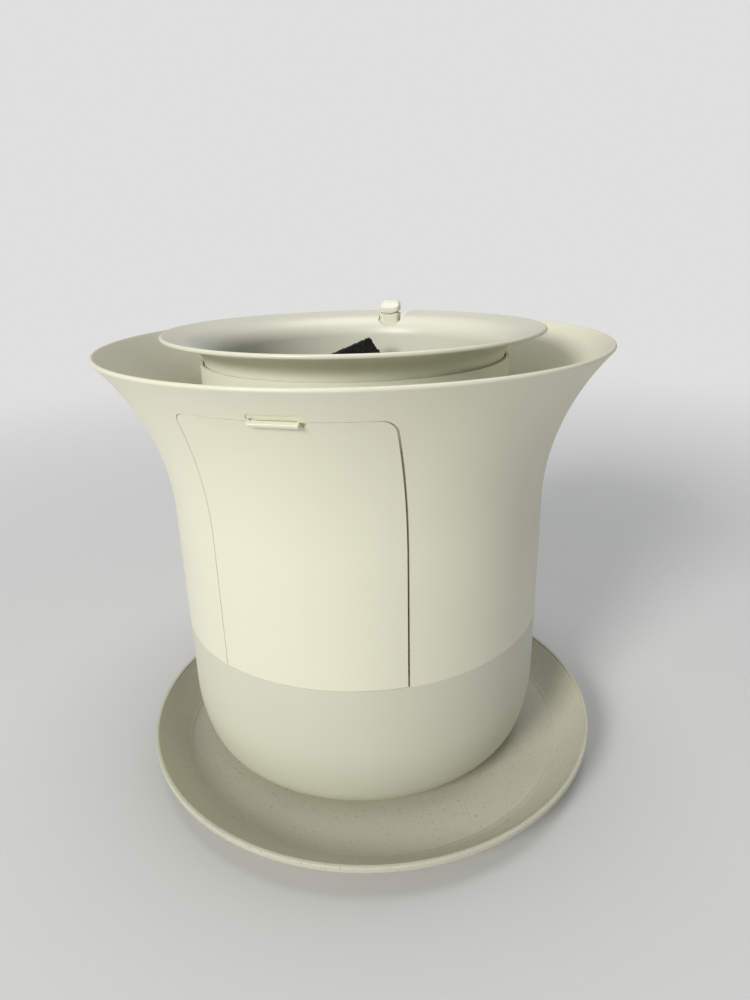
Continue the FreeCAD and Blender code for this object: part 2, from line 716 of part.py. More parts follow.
def slot_rows(name, sizes, columns, between_rows, low, high):
    """Rows of slots that run along Y; sizes names the slots' width, length and gap."""
    width, length, gap = (f"{sizes}_{part}" for part in ("width", "length", "gap"))
    slots = []
    for column in range(-columns, columns + 1):
        x = f"{column} * ({width} + {gap})"
        for row in (-1, 0, 1):
            y = f"{row} * ({length} + {between_rows})"
            slots.append(box(name, (f"{x} - {width} / 2", f"{x} + {width} / 2"),
                             (f"{y} - {length} / 2", f"{y} + {length} / 2"), (low, high)))
    return group(f"{name}_rows", *slots)


floor_slot_set = common("FloorSlotSet", slot_rows("FloorSlot", "floor_slot", 5, 6, heater_top, floor_top),
                        rod("FloorSlotZone", "fan_hole_radius - 2", heater_top, floor_top))
node("floor_grille", cut("FloorGrille", floor_disc, floor_slot_set))

# --- Drying chamber: a tube on the deck with a window for the rack and a seat for the collar.
tube = turned("ChamberTube", [
    (f"{chamber_inner} - chamber_foot", deck_top),
    ("chamber_radius", deck_top),
    ("chamber_radius", "chamber_top"),
    (chamber_inner, "chamber_top"),
    (chamber_inner, "seat_height"),
    (f"{chamber_inner} - seat_width", "seat_height"),
    (f"{chamber_inner} - seat_width", "seat_height - seat_plate"),
    (chamber_inner, "seat_height - seat_plate - seat_width"),
    (chamber_inner, f"{deck_top} + chamber_foot_plate"),
    (f"{chamber_inner} - chamber_foot", f"{deck_top} + chamber_foot_plate"),
])
window = front_prism("ChamberWindow", "window_width / 2", "window_sill", "window_top", "door_corner / 2")
foot_drill = rods_around("FootDrill", 4, tube_screw_circle, "screw_radius", deck_top,
                         f"{deck_top} + chamber_foot_plate", start=60)
node("drying_chamber", cut("ChamberCut", tube, window, *foot_drill))
node("chamber_screws", screws("ChamberScrew", 4, tube_screw_circle, f"({deck_top} + chamber_foot_plate)",
                              "chamber_foot_plate + deck_plate", start=60))

# --- Collar: a dish on a neck that plugs into the chamber. The notch for the switch post has a rounded base,
# a straight left side and a right side that opens wide at the brim.
neck_outer = f"({chamber_inner} - collar_clearance)"
neck_inner = f"({neck_outer} - collar_wall)"
steep, shallow = (f"(collar_{where}_slope * 1 deg)" for where in ("middle", "rim"))
turn_end = (f"({neck_outer} + collar_turn_radius * (1 - sin({steep})))",
            f"(collar_turn_height + collar_turn_radius * cos({steep}))")
sweep_end = (f"({turn_end[0]} + collar_sweep_radius * (sin({steep}) - sin({shallow})))",
             f"({turn_end[1]} + collar_sweep_radius * (cos({shallow}) - cos({steep})))")
brim_end = (f"({sweep_end[0]} + collar_brim * cos({shallow}))",
            f"({sweep_end[1]} + collar_brim * sin({shallow}))")


def wall_over(spot, slope):
    """The point of the collar's upper face over a point of its under face."""
    return f"({spot[0]} - collar_wall * sin({slope}))", f"({spot[1]} + collar_wall * cos({slope}))"


collar = turned("CollarDish", [
    (f"{neck_inner} - grille_ledge", "seat_height"),
    (neck_outer, "seat_height"),
    (neck_outer, "collar_turn_height"),
    turn_end,
    sweep_end,
    brim_end,
    wall_over(brim_end, shallow),
    wall_over(sweep_end, shallow),
    wall_over(turn_end, steep),
    (neck_inner, "collar_turn_height"),
    (neck_inner, "seat_height + grille_plate"),
    (f"{neck_inner} - grille_ledge", "seat_height + grille_plate"),
], {
    2: ("collar_turn_radius", 1),
    3: ("collar_sweep_radius", 1),
    5: ("0.6 * collar_wall", -1),
    7: ("collar_sweep_radius + collar_wall", -1),
    8: ("collar_turn_radius + collar_wall", -1),
})
notch_half = "(notch_base_width / 2)"
mouth_back = f"({brim_end[0]} + collar_wall)"
notch = padded("Notch", "XY_Plane", "2 * button_top - 2 * chamber_top", [
    ("-notch_mouth_left", mouth_back),
    (f"-{notch_half}", "notch_base"),
    (notch_half, "notch_base"),
    ("notch_mouth_right", mouth_back),
], {1: ("notch_base_curve", -1)})
place(notch, z="chamber_top")
node("collar", cut("CollarCut", collar, notch))

# --- Exhaust filter: a slotted plate on the neck's ledge and a foam pad with one corner pulled up as a tab.
grille_low = "(seat_height + grille_plate)"
grille_high = f"({grille_low} + grille_plate)"
filter_disc = rod("FilterDisc", f"{neck_inner} - grille_clearance", grille_low, grille_high)
filter_slot_set = common("FilterSlotSet",
                         slot_rows("FilterSlot", "filter_slot", 5, 6, grille_low, grille_high),
                         rod("FilterSlotZone", f"{neck_inner} - grille_ledge - 3", grille_low, grille_high))
node("filter_grille", cut("FilterGrille", filter_disc, filter_slot_set))
foam_low = f"({grille_high} + 0.2)"
foam_top = f"({foam_low} + filter_thick)"
foam = rod("FoamDisc", f"{neck_inner} - 0.6", foam_low, foam_top)
tab = padded("FoamTab", "XZ_Plane", "tab_thick", [
    ("-tab_left", "0"),
    ("tab_right", "0"),
    ("tab_right", "tab_right_height"),
    ("tab_peak + 1.5", "tab_height"),
    ("tab_peak", "tab_height"),
    ("-tab_left", "tab_left_height"),
])
tab.Placement = Placement(Vector(), Rotation(Vector(0, 0, 1), 1))
tab.setExpression("Placement.Rotation.Angle", bound("tab_turn"))
tab.setExpression("Placement.Base.x", bound("-tab_set_back * sin(tab_turn * 1 deg)"))
tab.setExpression("Placement.Base.y", bound("tab_set_back * cos(tab_turn * 1 deg)"))
tab.setExpression("Placement.Base.z", bound(foam_top))
node("carbon_filter", fuse("CarbonFilter", foam, tab))

# --- Switch post behind the chamber, its contact switch inside, and the button on top.
post_half = "(post_width / 2)"
post_half_depth = "(post_depth / 2)"
outer_points, outer_arcs = rounded(post_half, post_half_depth, "post_corner", centre_y="post_centre")
inner_points, inner_arcs = rounded(f"{post_half} - post_wall", f"{post_half_depth} - post_wall",
                                   "(post_corner - post_wall)", centre_y="post_centre")
post_walls = padded("PostWalls", "XY_Plane", f"post_top - {deck_top}", outer_points, outer_arcs,
                    (inner_points, inner_arcs))
place(post_walls, z=deck_top)
cap_under = "(post_top - post_lid)"
post_lid = padded("PostLid", "XY_Plane", "post_lid - 0.1", outer_points, outer_arcs)
place(post_lid, z=cap_under)
lid_drilled = cut("PostLidDrilled", post_lid,
                  rod("StemHole", "stem_radius + 0.1", cap_under, "post_top", "0", "post_centre"))
switch_floor = "(post_top - post_shelf_drop)"
post_shelf = box("PostShelf", (f"-{post_half} + 0.5", f"{post_half} - 0.5"),
                 (f"post_centre - {post_half_depth} + 0.5", f"post_centre + {post_half_depth} - 0.5"),
                 (f"{switch_floor} - 1.6", switch_floor))
bracket_bar = box("BracketBar", ("-bracket_width / 2", "bracket_width / 2"),
                  ("chamber_radius - 3", f"post_centre - {post_half_depth} + 0.5"),
                  ("bracket_low", "bracket_high"))
bracket = cut("PostBracket", bracket_bar, rod("BracketTrim", "chamber_radius", "bracket_low", "bracket_high"))
node("switch_post", fuse("SwitchPost", post_walls, lid_drilled, post_shelf, bracket))
node("contact_switch", fuse("ContactSwitch",
                            box("SwitchBlock", ("-3", "3"), ("post_centre - 3", "post_centre + 3"),
                                (switch_floor, f"{switch_floor} + switch_height")),
                            rod("SwitchPin", "1.4", f"{switch_floor} + switch_height",
                                f"{switch_floor} + switch_height + 1.4", "0", "post_centre")))
button_under = "(post_top + button_travel)"
button_body = padded("ButtonBody", "XY_Plane", f"button_top - {button_under}", outer_points, outer_arcs)
place(button_body, z=button_under)
stem_collar_top = f"({cap_under} - 0.1)"
stem = rod("ButtonStem", "stem_radius", f"{stem_collar_top} - 3", button_under, "0", "post_centre")
stem_collar = rod("StemCollar", "stem_radius + 0.5", f"{stem_collar_top} - 1.5", stem_collar_top, "0",
                  "post_centre")
stem_foot = rod("StemFoot", "1.4", f"{switch_floor} + switch_height + 1.5 + button_travel",
                f"{stem_collar_top} - 2", "0", "post_centre")
node("power_button", fuse("PowerButton", button_body, stem, stem_collar, stem_foot))

# --- Front door: the pot's own shell inside the opening, with a finger lip on its top edge.
door_half = "(door_opening / 2 - door_gap)"
door_low = "(seam_height + 0.3)"
door_high = f"({door_top} - door_top_gap)"
door_prism = front_prism("DoorPrism", door_half, door_low, door_high, "door_corner")
lip_points, lip_arcs = rounded("lip_width / 2", "lip_band / 2", "1.3")
lip = padded("FingerLip", "XZ_Plane", "lip_reach + lip_root", lip_points, lip_arcs)
on_flare(lip, f"{door_high} - lip_drop - lip_band / 2", "lip_root", "lip_shift")
door_shell = common("DoorShell", upper_shell("DoorStock"), door_prism)
node("front_door", fuse("FrontDoor", door_shell, lip))

# --- Tray rack on the door: the window's closing panel, four spacers, two ledged sides and the trays.
panel_half = "(window_width / 2 - 0.5)"
panel_low = "(window_sill + 0.3)"
panel_high = "(window_top - 0.5)"
panel_stock = cut("PanelStock", rod("PanelOuter", "chamber_radius", panel_low, panel_high),
                  rod("PanelInner", chamber_inner, panel_low, panel_high))
panel_prism = front_prism("PanelPrism", panel_half, panel_low, panel_high, "door_corner / 2")
node("rack_panel", common("RackPanel", panel_stock, panel_prism))
spacer_zone = cut("SpacerZone", rod("SpacerZoneOuter", inner_body, "seam_height", "flare_start"),
                  rod("SpacerZoneInner", "chamber_radius", "seam_height", "flare_start"))
spacer_rods = [rod_back("SpacerRod", "spacer_radius", "-body_radius", "-60",
                        f"{sign} * spacer_across", height)
               for sign in (-1, 1) for height in ("window_sill + 14", "flare_start - 10")]
node("door_spacers", common("DoorSpacers", group("SpacerRods", *spacer_rods), spacer_zone))

rack_low = f"({floor_top} + runner_base + slide_clearance)"
runner_near = "(rack_half + slide_clearance)"
runner_far = f"({runner_near} + runner_wall)"
run = ("-tray_front + 0.5", "tray_back")
side_trim = rod("SideTrim", chamber_inner, "seam_height", "seat_height")


def across(sign, near, far):
    """A low-to-high pair of x values on one side, from distances to the middle."""
    return (near, far) if sign > 0 else (f"-({far})", f"-({near})")


for side, sign in (("left", -1), ("right", 1)):
    wall = box(f"RackWall_{side}", across(sign, "rack_half - rack_plate", "rack_half"),
               ("-chamber_radius", "rack_back"), (rack_low, "rack_top"))
    ledge_span = across(sign, "rack_half - rack_plate - tray_ledge", "rack_half - rack_plate / 2")
    gap_span = across(sign, "rack_half - 3 * rack_plate", "rack_half + 1")
    ledges = []
    gaps = []
    for level in range(TRAY_COUNT):
        height = f"(tray_first + {level} * tray_pitch)"
        ledges.append(box(f"RackLedge_{side}", ledge_span, ("-tray_front", "tray_back"),
                          (f"{height} - tray_ledge_plate", height)))
        # Windows above each tray but the last let the air across and show what lies on the tray.
        if level < TRAY_COUNT - 1:
            for place_along in (-1, 0, 1):
                middle = f"{place_along} * window_pitch"
                gaps.append(box(f"RackGap_{side}", gap_span,
                                (f"{middle} - window_half", f"{middle} + window_half"),
                                (f"{height} + tray_rim + 3", f"{height} + tray_pitch - 5")))
    trimmed = common(f"RackSideTrimmed_{side}", fuse(f"RackSideBody_{side}", wall, *ledges), side_trim)
    node(f"rack_side_{side}", cut(f"RackSide_{side}", trimmed, *gaps))
    runner_floor = box(f"RunnerFloor_{side}", across(sign, "rack_half - rack_plate - 1", runner_far), run,
                       (floor_top, f"{floor_top} + runner_base"))
    runner_side = box(f"RunnerSide_{side}", across(sign, runner_near, runner_far), run,
                      (floor_top, f"{floor_top} + runner_height"))
    node(f"runner_{side}", fuse(f"Runner_{side}", runner_floor, runner_side))

magnet_high = "(tray_first - tray_ledge_plate - 0.1)"
keeper_front = "(rack_back + keeper_gap)"
magnets = []
keepers = []
for sign in (-1, 1):
    span = across(sign, "rack_half - rack_plate - magnet_width", "rack_half - rack_plate")
    magnets.append(box("Magnet", span, ("rack_back - magnet_depth", "rack_back"), (rack_low, magnet_high)))
    keepers.append(box("Keeper", span, (keeper_front, f"{keeper_front} + keeper_plate"),
                       (floor_top, "tray_first")))
node("rack_magnets", group("Magnets", *magnets))
node("keeper_plates", group("Keepers", *keepers))

# --- Trays: a pressed rim with a flange round its foot, and a perforated sheet that drops on the flange.
tray_half = "(rack_half - rack_plate - tray_clearance)"
tray_span = (f"-{tray_half}", tray_half)


def inside(span, inset):
    return f"{span[0]} + {inset}", f"{span[1]} - ({inset})"


tray_rim = cut("TrayRim", box("TrayBlank", tray_span, run, ("0", "tray_rim")),
               box("TrayWell", inside(tray_span, "tray_wall"), inside(run, "tray_wall"),
                   ("tray_wall", "tray_rim")),
               box("TrayOpening", inside(tray_span, "tray_wall + tray_flange"),
                   inside(run, "tray_wall + tray_flange"), ("0", "tray_wall")))
tray_step = "(tray_hole + tray_hole_gap)"
tray_holes = []
for column in range(-4, 5):
    for line in range(-7, 8):
        x = f"{column} * {tray_step}"
        y = f"{line} * {tray_step} - (tray_front - tray_back) / 2"
        tray_holes.append(box("TrayHole", (f"{x} - tray_hole / 2", f"{x} + tray_hole / 2"),
                              (f"{y} - tray_hole / 2", f"{y} + tray_hole / 2"), ("0", "tray_sheet")))
tray_sheet = cut("TraySheet",
                 box("SheetBlank", inside(tray_span, "tray_wall + slide_clearance"),
                     inside(run, "tray_wall + slide_clearance"), ("0", "tray_sheet")),
                 *tray_holes)
for level in range(TRAY_COUNT):
    height = f"tray_first + {level} * tray_pitch"
    node(f"tray_rim_{level + 1}", group(f"TrayRim{level + 1}", tray_rim), height)
    node(f"tray_sheet_{level + 1}", group(f"TraySheet{level + 1}", tray_sheet), f"{height} + tray_wall")

# --- Recompute, check and write.
doc.recompute()
for obj in doc.Objects:
    if {"Invalid", "Error"} & set(obj.State):
        raise RuntimeError(f"{obj.Name} failed: {obj.State}")
os.makedirs("parts", exist_ok=True)
for name, obj in parts.items():
    shape = obj.Shape
    if shape.isNull() or not shape.isValid():
        raise RuntimeError(f"{name} has no valid shape")
    shape.exportStep(f"parts/{name}.step")
    print(f"{name}: {len(shape.Solids)} solid(s), {shape.Volume / 1000:.1f} cm3")
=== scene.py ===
import math
import bmesh
import bpy
import mathutils
from mathutils import Matrix, Vector


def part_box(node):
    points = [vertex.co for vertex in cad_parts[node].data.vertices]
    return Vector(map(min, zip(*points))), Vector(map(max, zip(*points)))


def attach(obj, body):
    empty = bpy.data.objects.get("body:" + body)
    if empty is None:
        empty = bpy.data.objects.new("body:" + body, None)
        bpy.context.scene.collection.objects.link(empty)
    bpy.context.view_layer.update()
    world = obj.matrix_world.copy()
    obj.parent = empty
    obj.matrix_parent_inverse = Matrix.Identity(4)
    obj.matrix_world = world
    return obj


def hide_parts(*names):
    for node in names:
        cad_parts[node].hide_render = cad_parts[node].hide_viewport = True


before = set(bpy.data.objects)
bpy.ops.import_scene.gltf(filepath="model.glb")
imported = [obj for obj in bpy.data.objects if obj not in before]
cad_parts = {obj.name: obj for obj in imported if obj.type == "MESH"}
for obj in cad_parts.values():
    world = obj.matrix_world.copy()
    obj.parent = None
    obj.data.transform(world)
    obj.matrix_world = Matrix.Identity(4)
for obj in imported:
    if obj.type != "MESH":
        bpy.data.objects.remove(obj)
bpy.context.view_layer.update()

# ---------------------------------------------------------------- saucer
# The loose saucer that the pot stands in: one moulded dish in a warm grey plastic with fine dark specks,
# its sides sloping up to a narrow banded lip.

MM = 0.001
ROUND = 192
saucer_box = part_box("saucer")
saucer_centre = (saucer_box[0] + saucer_box[1]) / 2
saucer_radius = (saucer_box[1].x - saucer_box[0].x) / 2
saucer_rim = saucer_box[1].z
saucer_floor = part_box("rubber_feet")[0].z
saucer_floor_radius = saucer_radius - 22.4 * MM
saucer_foot_radius = 100 * MM
saucer_foot = 2 * MM
saucer_lip_wall = 2.4 * MM
saucer_lip_band = 3.6 * MM
saucer_lip_round = 0.5 * MM
saucer_crown_round = 0.8 * MM
saucer_floor_round = 4 * MM


def arc(centre, radius, start, end, steps=8):
    """Points of a circular arc as (distance, height) pairs; the angles are in degrees from outward."""
    turns = [math.radians(start + (end - start) * step / steps) for step in range(steps + 1)]
    return [(centre[0] + radius * math.cos(turn), centre[1] + radius * math.sin(turn)) for turn in turns]


def between(first, last, sag, steps=10):
    """Points from one (distance, height) pair to another along a shallow bow that sags by a given depth."""
    run = Vector((last[0] - first[0], last[1] - first[1]))
    aside = Vector((run.y, -run.x)).normalized()
    points = []
    for step in range(steps + 1):
        share = step / steps
        spot = Vector(first) + run * share + aside * (sag * 4 * share * (1 - share))
        points.append((spot.x, spot.y))
    return points


def placed(name, mesh):
    """A new object that shows a mesh, at the origin."""
    piece = bpy.data.objects.new(name, mesh)
    bpy.context.collection.objects.link(piece)
    return piece


def grid_mesh(name, rows, closed=False):
    """A mesh of quads over rows of points. Rows of one point become a fan."""
    mesh = bpy.data.meshes.new(name)
    verts, faces, starts = [], [], []
    for row in rows:
        starts.append(len(verts))
        verts.extend(row)
    for index in range(len(rows) - 1):
        low, high = rows[index], rows[index + 1]
        low_at, high_at = starts[index], starts[index + 1]
        count = max(len(low), len(high))
        for step in range(count if closed else count - 1):
            after = (step + 1) % count
            corners = [low_at + (step if len(low) > 1 else 0), low_at + (after if len(low) > 1 else 0),
                       high_at + (after if len(high) > 1 else 0), high_at + (step if len(high) > 1 else 0)]
            faces.append(tuple(dict.fromkeys(corners)))
    mesh.from_pydata(verts, [], faces)
    mesh.validate()
    mesh.shade_smooth()
    return placed(name, mesh)


def lathe(name, profile, centre=(0, 0), steps=ROUND):
    """A closed ring of surface turned from (distance, height) pairs. A pair on the axis closes it."""
    rows = []
    for distance, height in profile:
        if distance < 1e-6:
            rows.append([(centre[0], centre[1], height)])
            continue
        rows.append([(centre[0] + distance * math.cos(2 * math.pi * step / steps),
                      centre[1] + distance * math.sin(2 * math.pi * step / steps), height)
                     for step in range(steps)])
    return grid_mesh(name, rows, closed=True)


def shape_of(mesh):
    """An editable copy of a mesh."""
    shape = bmesh.new()
    shape.from_mesh(mesh)
    return shape


def reshaped(piece, shape):
    """Give a piece the edited copy of its mesh."""
    shape.to_mesh(piece.data)
    shape.free()
    return piece


def outward(piece):
    """Merge doubles and point every face outwards."""
    shape = shape_of(piece.data)
    bmesh.ops.remove_doubles(shape, verts=shape.verts, dist=1e-7)
    bmesh.ops.recalc_face_normals(shape, faces=shape.faces)
    return reshaped(piece, shape)


def softened(piece, width, segments=3, angle=35):
    """Round the sharp edges of a piece, and let faces over that angle shade apart before it."""
    bevel = piece.modifiers.new("edges", "BEVEL")
    bevel.width = width
    bevel.segments = segments
    bevel.limit_method = "ANGLE"
    bevel.angle_limit = math.radians(angle)
    bevel.use_clamp_overlap = True
    bevel.harden_normals = True
    return piece


def feed(tree, node, feeds):
    """Give a node's sockets their values, or links from other nodes' outputs."""
    for socket, value in feeds.items():
        if isinstance(value, bpy.types.NodeSocket):
            tree.links.new(value, node.inputs[socket])
        else:
            node.inputs[socket].default_value = value


def node_at(tree, kind, x, y, feeds=None, **settings):
    """A node at its place in a tree, with its settings made before its sockets are fed."""
    node = tree.nodes.new(kind)
    node.location = (x, y)
    for name, value in settings.items():
        setattr(node, name, value)
    feed(tree, node, feeds or {})
    return node


def ramp(tree, source, x, y, stops):
    """A colour ramp over a source socket; stops are (place, colour) pairs."""
    node = node_at(tree, "ShaderNodeValToRGB", x, y, {"Fac": source})
    elements = node.color_ramp.elements
    while len(elements) < len(stops):
        elements.new(0.5)
    for element, (position, colour) in zip(elements, stops):
        element.position = position
        element.color = (*colour, 1)
    return node.outputs["Color"]


def noise(tree, place, x, y, scale, detail=4.0, roughness=0.6):
    """Even noise over a place socket."""
    feeds = {"Vector": place, "Scale": scale, "Detail": detail, "Roughness": roughness}
    return node_at(tree, "ShaderNodeTexNoise", x, y, feeds).outputs["Fac"]


def blank_material(name):
    """A new material, with its tree, its shader and its Object coordinates."""
    material = bpy.data.materials.new(name)
    material.use_nodes = True
    tree = material.node_tree
    place = node_at(tree, "ShaderNodeTexCoord", -1400, 0).outputs["Object"]
    return material, tree, tree.nodes["Principled BSDF"], place


def bumped(tree, shader, height, strength, distance):
    """Let a texture's height stand out of the surface."""
    bump = node_at(tree, "ShaderNodeBump", -500, -400,
                   {"Strength": strength, "Distance": distance, "Height": height})
    feed(tree, shader, {"Normal": bump.outputs["Normal"]})


def linear(red, green, blue):
    """Shader colour of a finish that is matched as an 8-bit display colour."""
    def channel(value):
        value /= 255
        return value / 12.92 if value <= 0.04045 else ((value + 0.055) / 1.055) ** 2.4
    return tuple(channel(value) for value in (red, green, blue))


def moulded(name, colour, roughness=0.42, mottle=0.03, grain=0.12, grain_scale=1800.0, specks=None):
    """Moulded plastic: a nearly even colour, faint flow marks, a fine eroded grain and, if asked, specks."""
    material, tree, shader, place = blank_material(name)
    flow = noise(tree, place, -1200, 200, 14.0, 5.0, 0.55)
    darker = tuple(value * (1 - mottle) for value in colour)
    lighter = tuple(min(value * (1 + mottle), 1) for value in colour)
    base = ramp(tree, flow, -900, 200, [(0.3, darker), (0.7, lighter)])
    if specks:
        speck_scale, speck_share, speck_colour = specks
        dots = noise(tree, place, -1200, 500, speck_scale, 2.0, 0.5)
        mask = ramp(tree, dots, -900, 500, [(speck_share, (1, 1, 1)), (speck_share + 0.03, (0, 0, 0))])
        mix = node_at(tree, "ShaderNodeMix", -500, 300, {"Factor": mask, "A": base, "B": (*speck_colour, 1)},
                      data_type="RGBA")
        base = mix.outputs["Result"]
    smear = noise(tree, place, -1200, -100, 35.0, 3.0, 0.6)
    spread = node_at(tree, "ShaderNodeMapRange", -700, -100,
                     {"Value": smear, "To Min": roughness - 0.05, "To Max": roughness + 0.07})
    feed(tree, shader, {"Base Color": base, "Roughness": spread.outputs["Result"]})
    bumped(tree, shader, noise(tree, place, -1200, -400, grain_scale, 2.0, 0.5), grain, 0.2 * MM)
    return material


def finish(piece, material, body, slot, *replaced):
    """Dress a piece, let it move with its body and, if it stands for CAD nodes, hide those."""
    piece.data.materials.clear()
    piece.data.materials.append(material)
    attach(piece, body)
    if replaced:
        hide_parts(*replaced)
    return piece


saucer_grey = moulded("saucer_grey", linear(198, 195, 176), roughness=0.55, mottle=0.04, grain=0.25,
                      grain_scale=1400.0, specks=(900.0, 0.30, linear(150, 145, 128)))
wall_top = saucer_radius - saucer_lip_wall
lip_under = saucer_rim - saucer_lip_band
saucer_profile = [(0, 0), (saucer_foot_radius, 0), (saucer_foot_radius, saucer_foot),
                  (saucer_floor_radius, saucer_foot)]
saucer_profile += between((saucer_floor_radius + 1 * MM, saucer_foot), (wall_top, lip_under), 0.3 * MM)
saucer_profile += [(saucer_radius - saucer_lip_round, lip_under)]
saucer_profile += arc((saucer_radius - saucer_lip_round, lip_under + saucer_lip_round), saucer_lip_round,
                      -90, 0, 3)
saucer_profile += arc((saucer_radius - saucer_crown_round, saucer_rim - saucer_crown_round),
                      saucer_crown_round, 0, 90, 5)
saucer_profile += arc((wall_top + saucer_lip_round, saucer_rim - saucer_lip_round), saucer_lip_round,
                      90, 180, 4)
saucer_profile += [(wall_top - 0.05 * MM, saucer_rim - 1.3 * MM),
                   (wall_top - 0.6 * MM, saucer_rim - 1.7 * MM)]
saucer_profile += between((wall_top - 1.2 * MM, saucer_rim - 2.4 * MM),
                          (saucer_floor_radius + 2 * MM, saucer_floor + 0.9 * MM), -1.2 * MM, 14)
saucer_profile += arc((saucer_floor_radius - 1 * MM, saucer_floor + saucer_floor_round), saucer_floor_round,
                      -50, -90, 5)
saucer_profile += [(saucer_floor_radius - 12 * MM, saucer_floor), (60 * MM, saucer_floor), (0, saucer_floor)]
saucer = outward(lathe("saucer_dish", saucer_profile, saucer_centre.xy))
softened(saucer, 0.3 * MM, 2, 50)
finish(saucer, saucer_grey, "saucer", "saucer_plastic", "saucer")

# ---------------------------------------------------------------- lower bowl
# The grey lower half of the pot: a moulded bowl with a rounded bottom. A lap inside its top edge locates the
# upper pot, and a ledge below that carries the fan deck. It stands on four thin rubber pads.

pot_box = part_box("upper_pot")
bowl_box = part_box("lower_bowl")
body_radius = 115 * MM
shell_wall = 2.4 * MM
seam = pot_box[0].z
bowl_base = bowl_box[0].z
lap_top = bowl_box[1].z
lap_outer = body_radius - shell_wall - 0.3 * MM
lap_inner = lap_outer - 2 * MM
ledge_inner = body_radius - shell_wall - 9.6 * MM
deck_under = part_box("fan_deck")[0].z
base_hole = 70 * MM
lap_round = 0.3 * MM
seam_round = 0.35 * MM
ledge_thick = 3 * MM
bowl_curve = 100 * MM
bowl_curve_top = saucer_floor + 48 * MM
base_turn = saucer_floor + 19 * MM


def applied(piece):
    """Turn a piece's modifiers into plain mesh."""
    graph = bpy.context.evaluated_depsgraph_get()
    mesh = bpy.data.meshes.new_from_object(piece.evaluated_get(graph))
    piece.modifiers.clear()
    piece.data = mesh
    return piece


def dropped(*shapes):
    """Remove shapes that were only needed to make others."""
    for shape in shapes:
        old = shape.data
        bpy.data.objects.remove(shape)
        bpy.data.meshes.remove(old)


def weighted(piece):
    """Let large faces steer the shading, so that flat walls stay flat beside rounded edges."""
    modifier = piece.modifiers.new("normals", "WEIGHTED_NORMAL")
    modifier.keep_sharp = True
    return piece


def carved(piece, cutter):
    """Cut one piece out of another."""
    modifier = piece.modifiers.new("carve", "BOOLEAN")
    modifier.operation = "DIFFERENCE"
    modifier.solver = "EXACT"
    modifier.object = cutter
    applied(piece)
    dropped(cutter)
    return piece


def rod(name, radius, low, high, centre=(0, 0), steps=48):
    """A plain rod between two heights."""
    return outward(lathe(name, [(0, low), (radius, low), (radius, high), (0, high)], centre, steps))


def bowl_outline(inset=0.0):
    """The bowl's wall from its flat base to the seam, moved in by a wall thickness if asked."""
    turn = math.asin((bowl_curve_top - base_turn) / bowl_curve)
    turn_radius = body_radius - bowl_curve * (1 - math.cos(turn))
    base_bend = (base_turn - bowl_base) / (1 - math.sin(turn))
    centre = (turn_radius - base_bend * math.cos(turn), base_turn + base_bend * math.sin(turn))
    low = arc(centre, base_bend - inset, -90, -math.degrees(turn), 14)
    high = arc((body_radius - bowl_curve, bowl_curve_top), bowl_curve - inset, -math.degrees(turn), 0, 8)
    return low + high[1:]


bowl_grey = moulded("bowl_grey", linear(206, 206, 186), roughness=0.40, mottle=0.02, grain=0.10)
bowl_profile = [(base_hole, bowl_base)] + bowl_outline()
bowl_profile += [(body_radius, seam - 12 * MM), (body_radius, seam - seam_round)]
bowl_profile += [(body_radius - 0.1 * MM, seam - 0.1 * MM), (body_radius - seam_round, seam)]
bowl_profile += [(lap_outer, seam), (lap_outer, lap_top - lap_round), (lap_outer - lap_round, lap_top)]
bowl_profile += [(lap_inner + lap_round, lap_top), (lap_inner, lap_top - lap_round), (lap_inner, deck_under)]
bowl_profile += [(ledge_inner, deck_under), (ledge_inner, deck_under - ledge_thick)]
bowl_profile += [(body_radius - shell_wall, deck_under - 10.7 * MM)]
bowl_profile += list(reversed(bowl_outline(shell_wall)))
bowl_profile += [(base_hole, bowl_base + shell_wall), (base_hole, bowl_base)]
bowl = applied(softened(outward(lathe("lower_bowl_shell", bowl_profile)), 0.3 * MM, 2, 50))
inlet_place = (Matrix.Translation((0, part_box("dc_inlet")[1].y, saucer_floor + 60 * MM))
               @ Matrix.Rotation(-math.pi / 2, 4, "X"))
inlet_hole = rod("hole", 6.2 * MM, -25 * MM, 8 * MM)
inlet_hole.data.transform(inlet_place)
weighted(carved(bowl, inlet_hole))
finish(bowl, bowl_grey, "housing", "bowl_plastic", "lower_bowl")

# ---------------------------------------------------------------- base, control board and power inlet
# The bowl's hole is closed by a dark base plate that is screwed up from below and carries the control board
# on four posts. Four rubber pads keep the pot off the saucer. A round low-voltage socket is in the back.


def dress(node, material):
    """Give a carried-over CAD node its material."""
    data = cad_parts[node].data
    data.materials.clear()
    data.materials.append(material)


def smooth_piece(name, shape):
    """A new smooth piece made from an edited shape."""
    mesh = bpy.data.meshes.new(name)
    shape.to_mesh(mesh)
    shape.free()
    mesh.shade_smooth()
    return placed(name, mesh)


def rounded_copy(node, width=0.3 * MM, segments=2):
    """A copy of a carried-over CAD node with its sharp edges rounded. It replaces the node."""
    shape = shape_of(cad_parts[node].data)
    bmesh.ops.remove_doubles(shape, verts=shape.verts, dist=2e-6)
    bmesh.ops.dissolve_limit(shape, angle_limit=math.radians(2), verts=shape.verts, edges=shape.edges)
    piece = smooth_piece(f"{node}_moulding", shape)
    return weighted(applied(softened(piece, width, segments)))


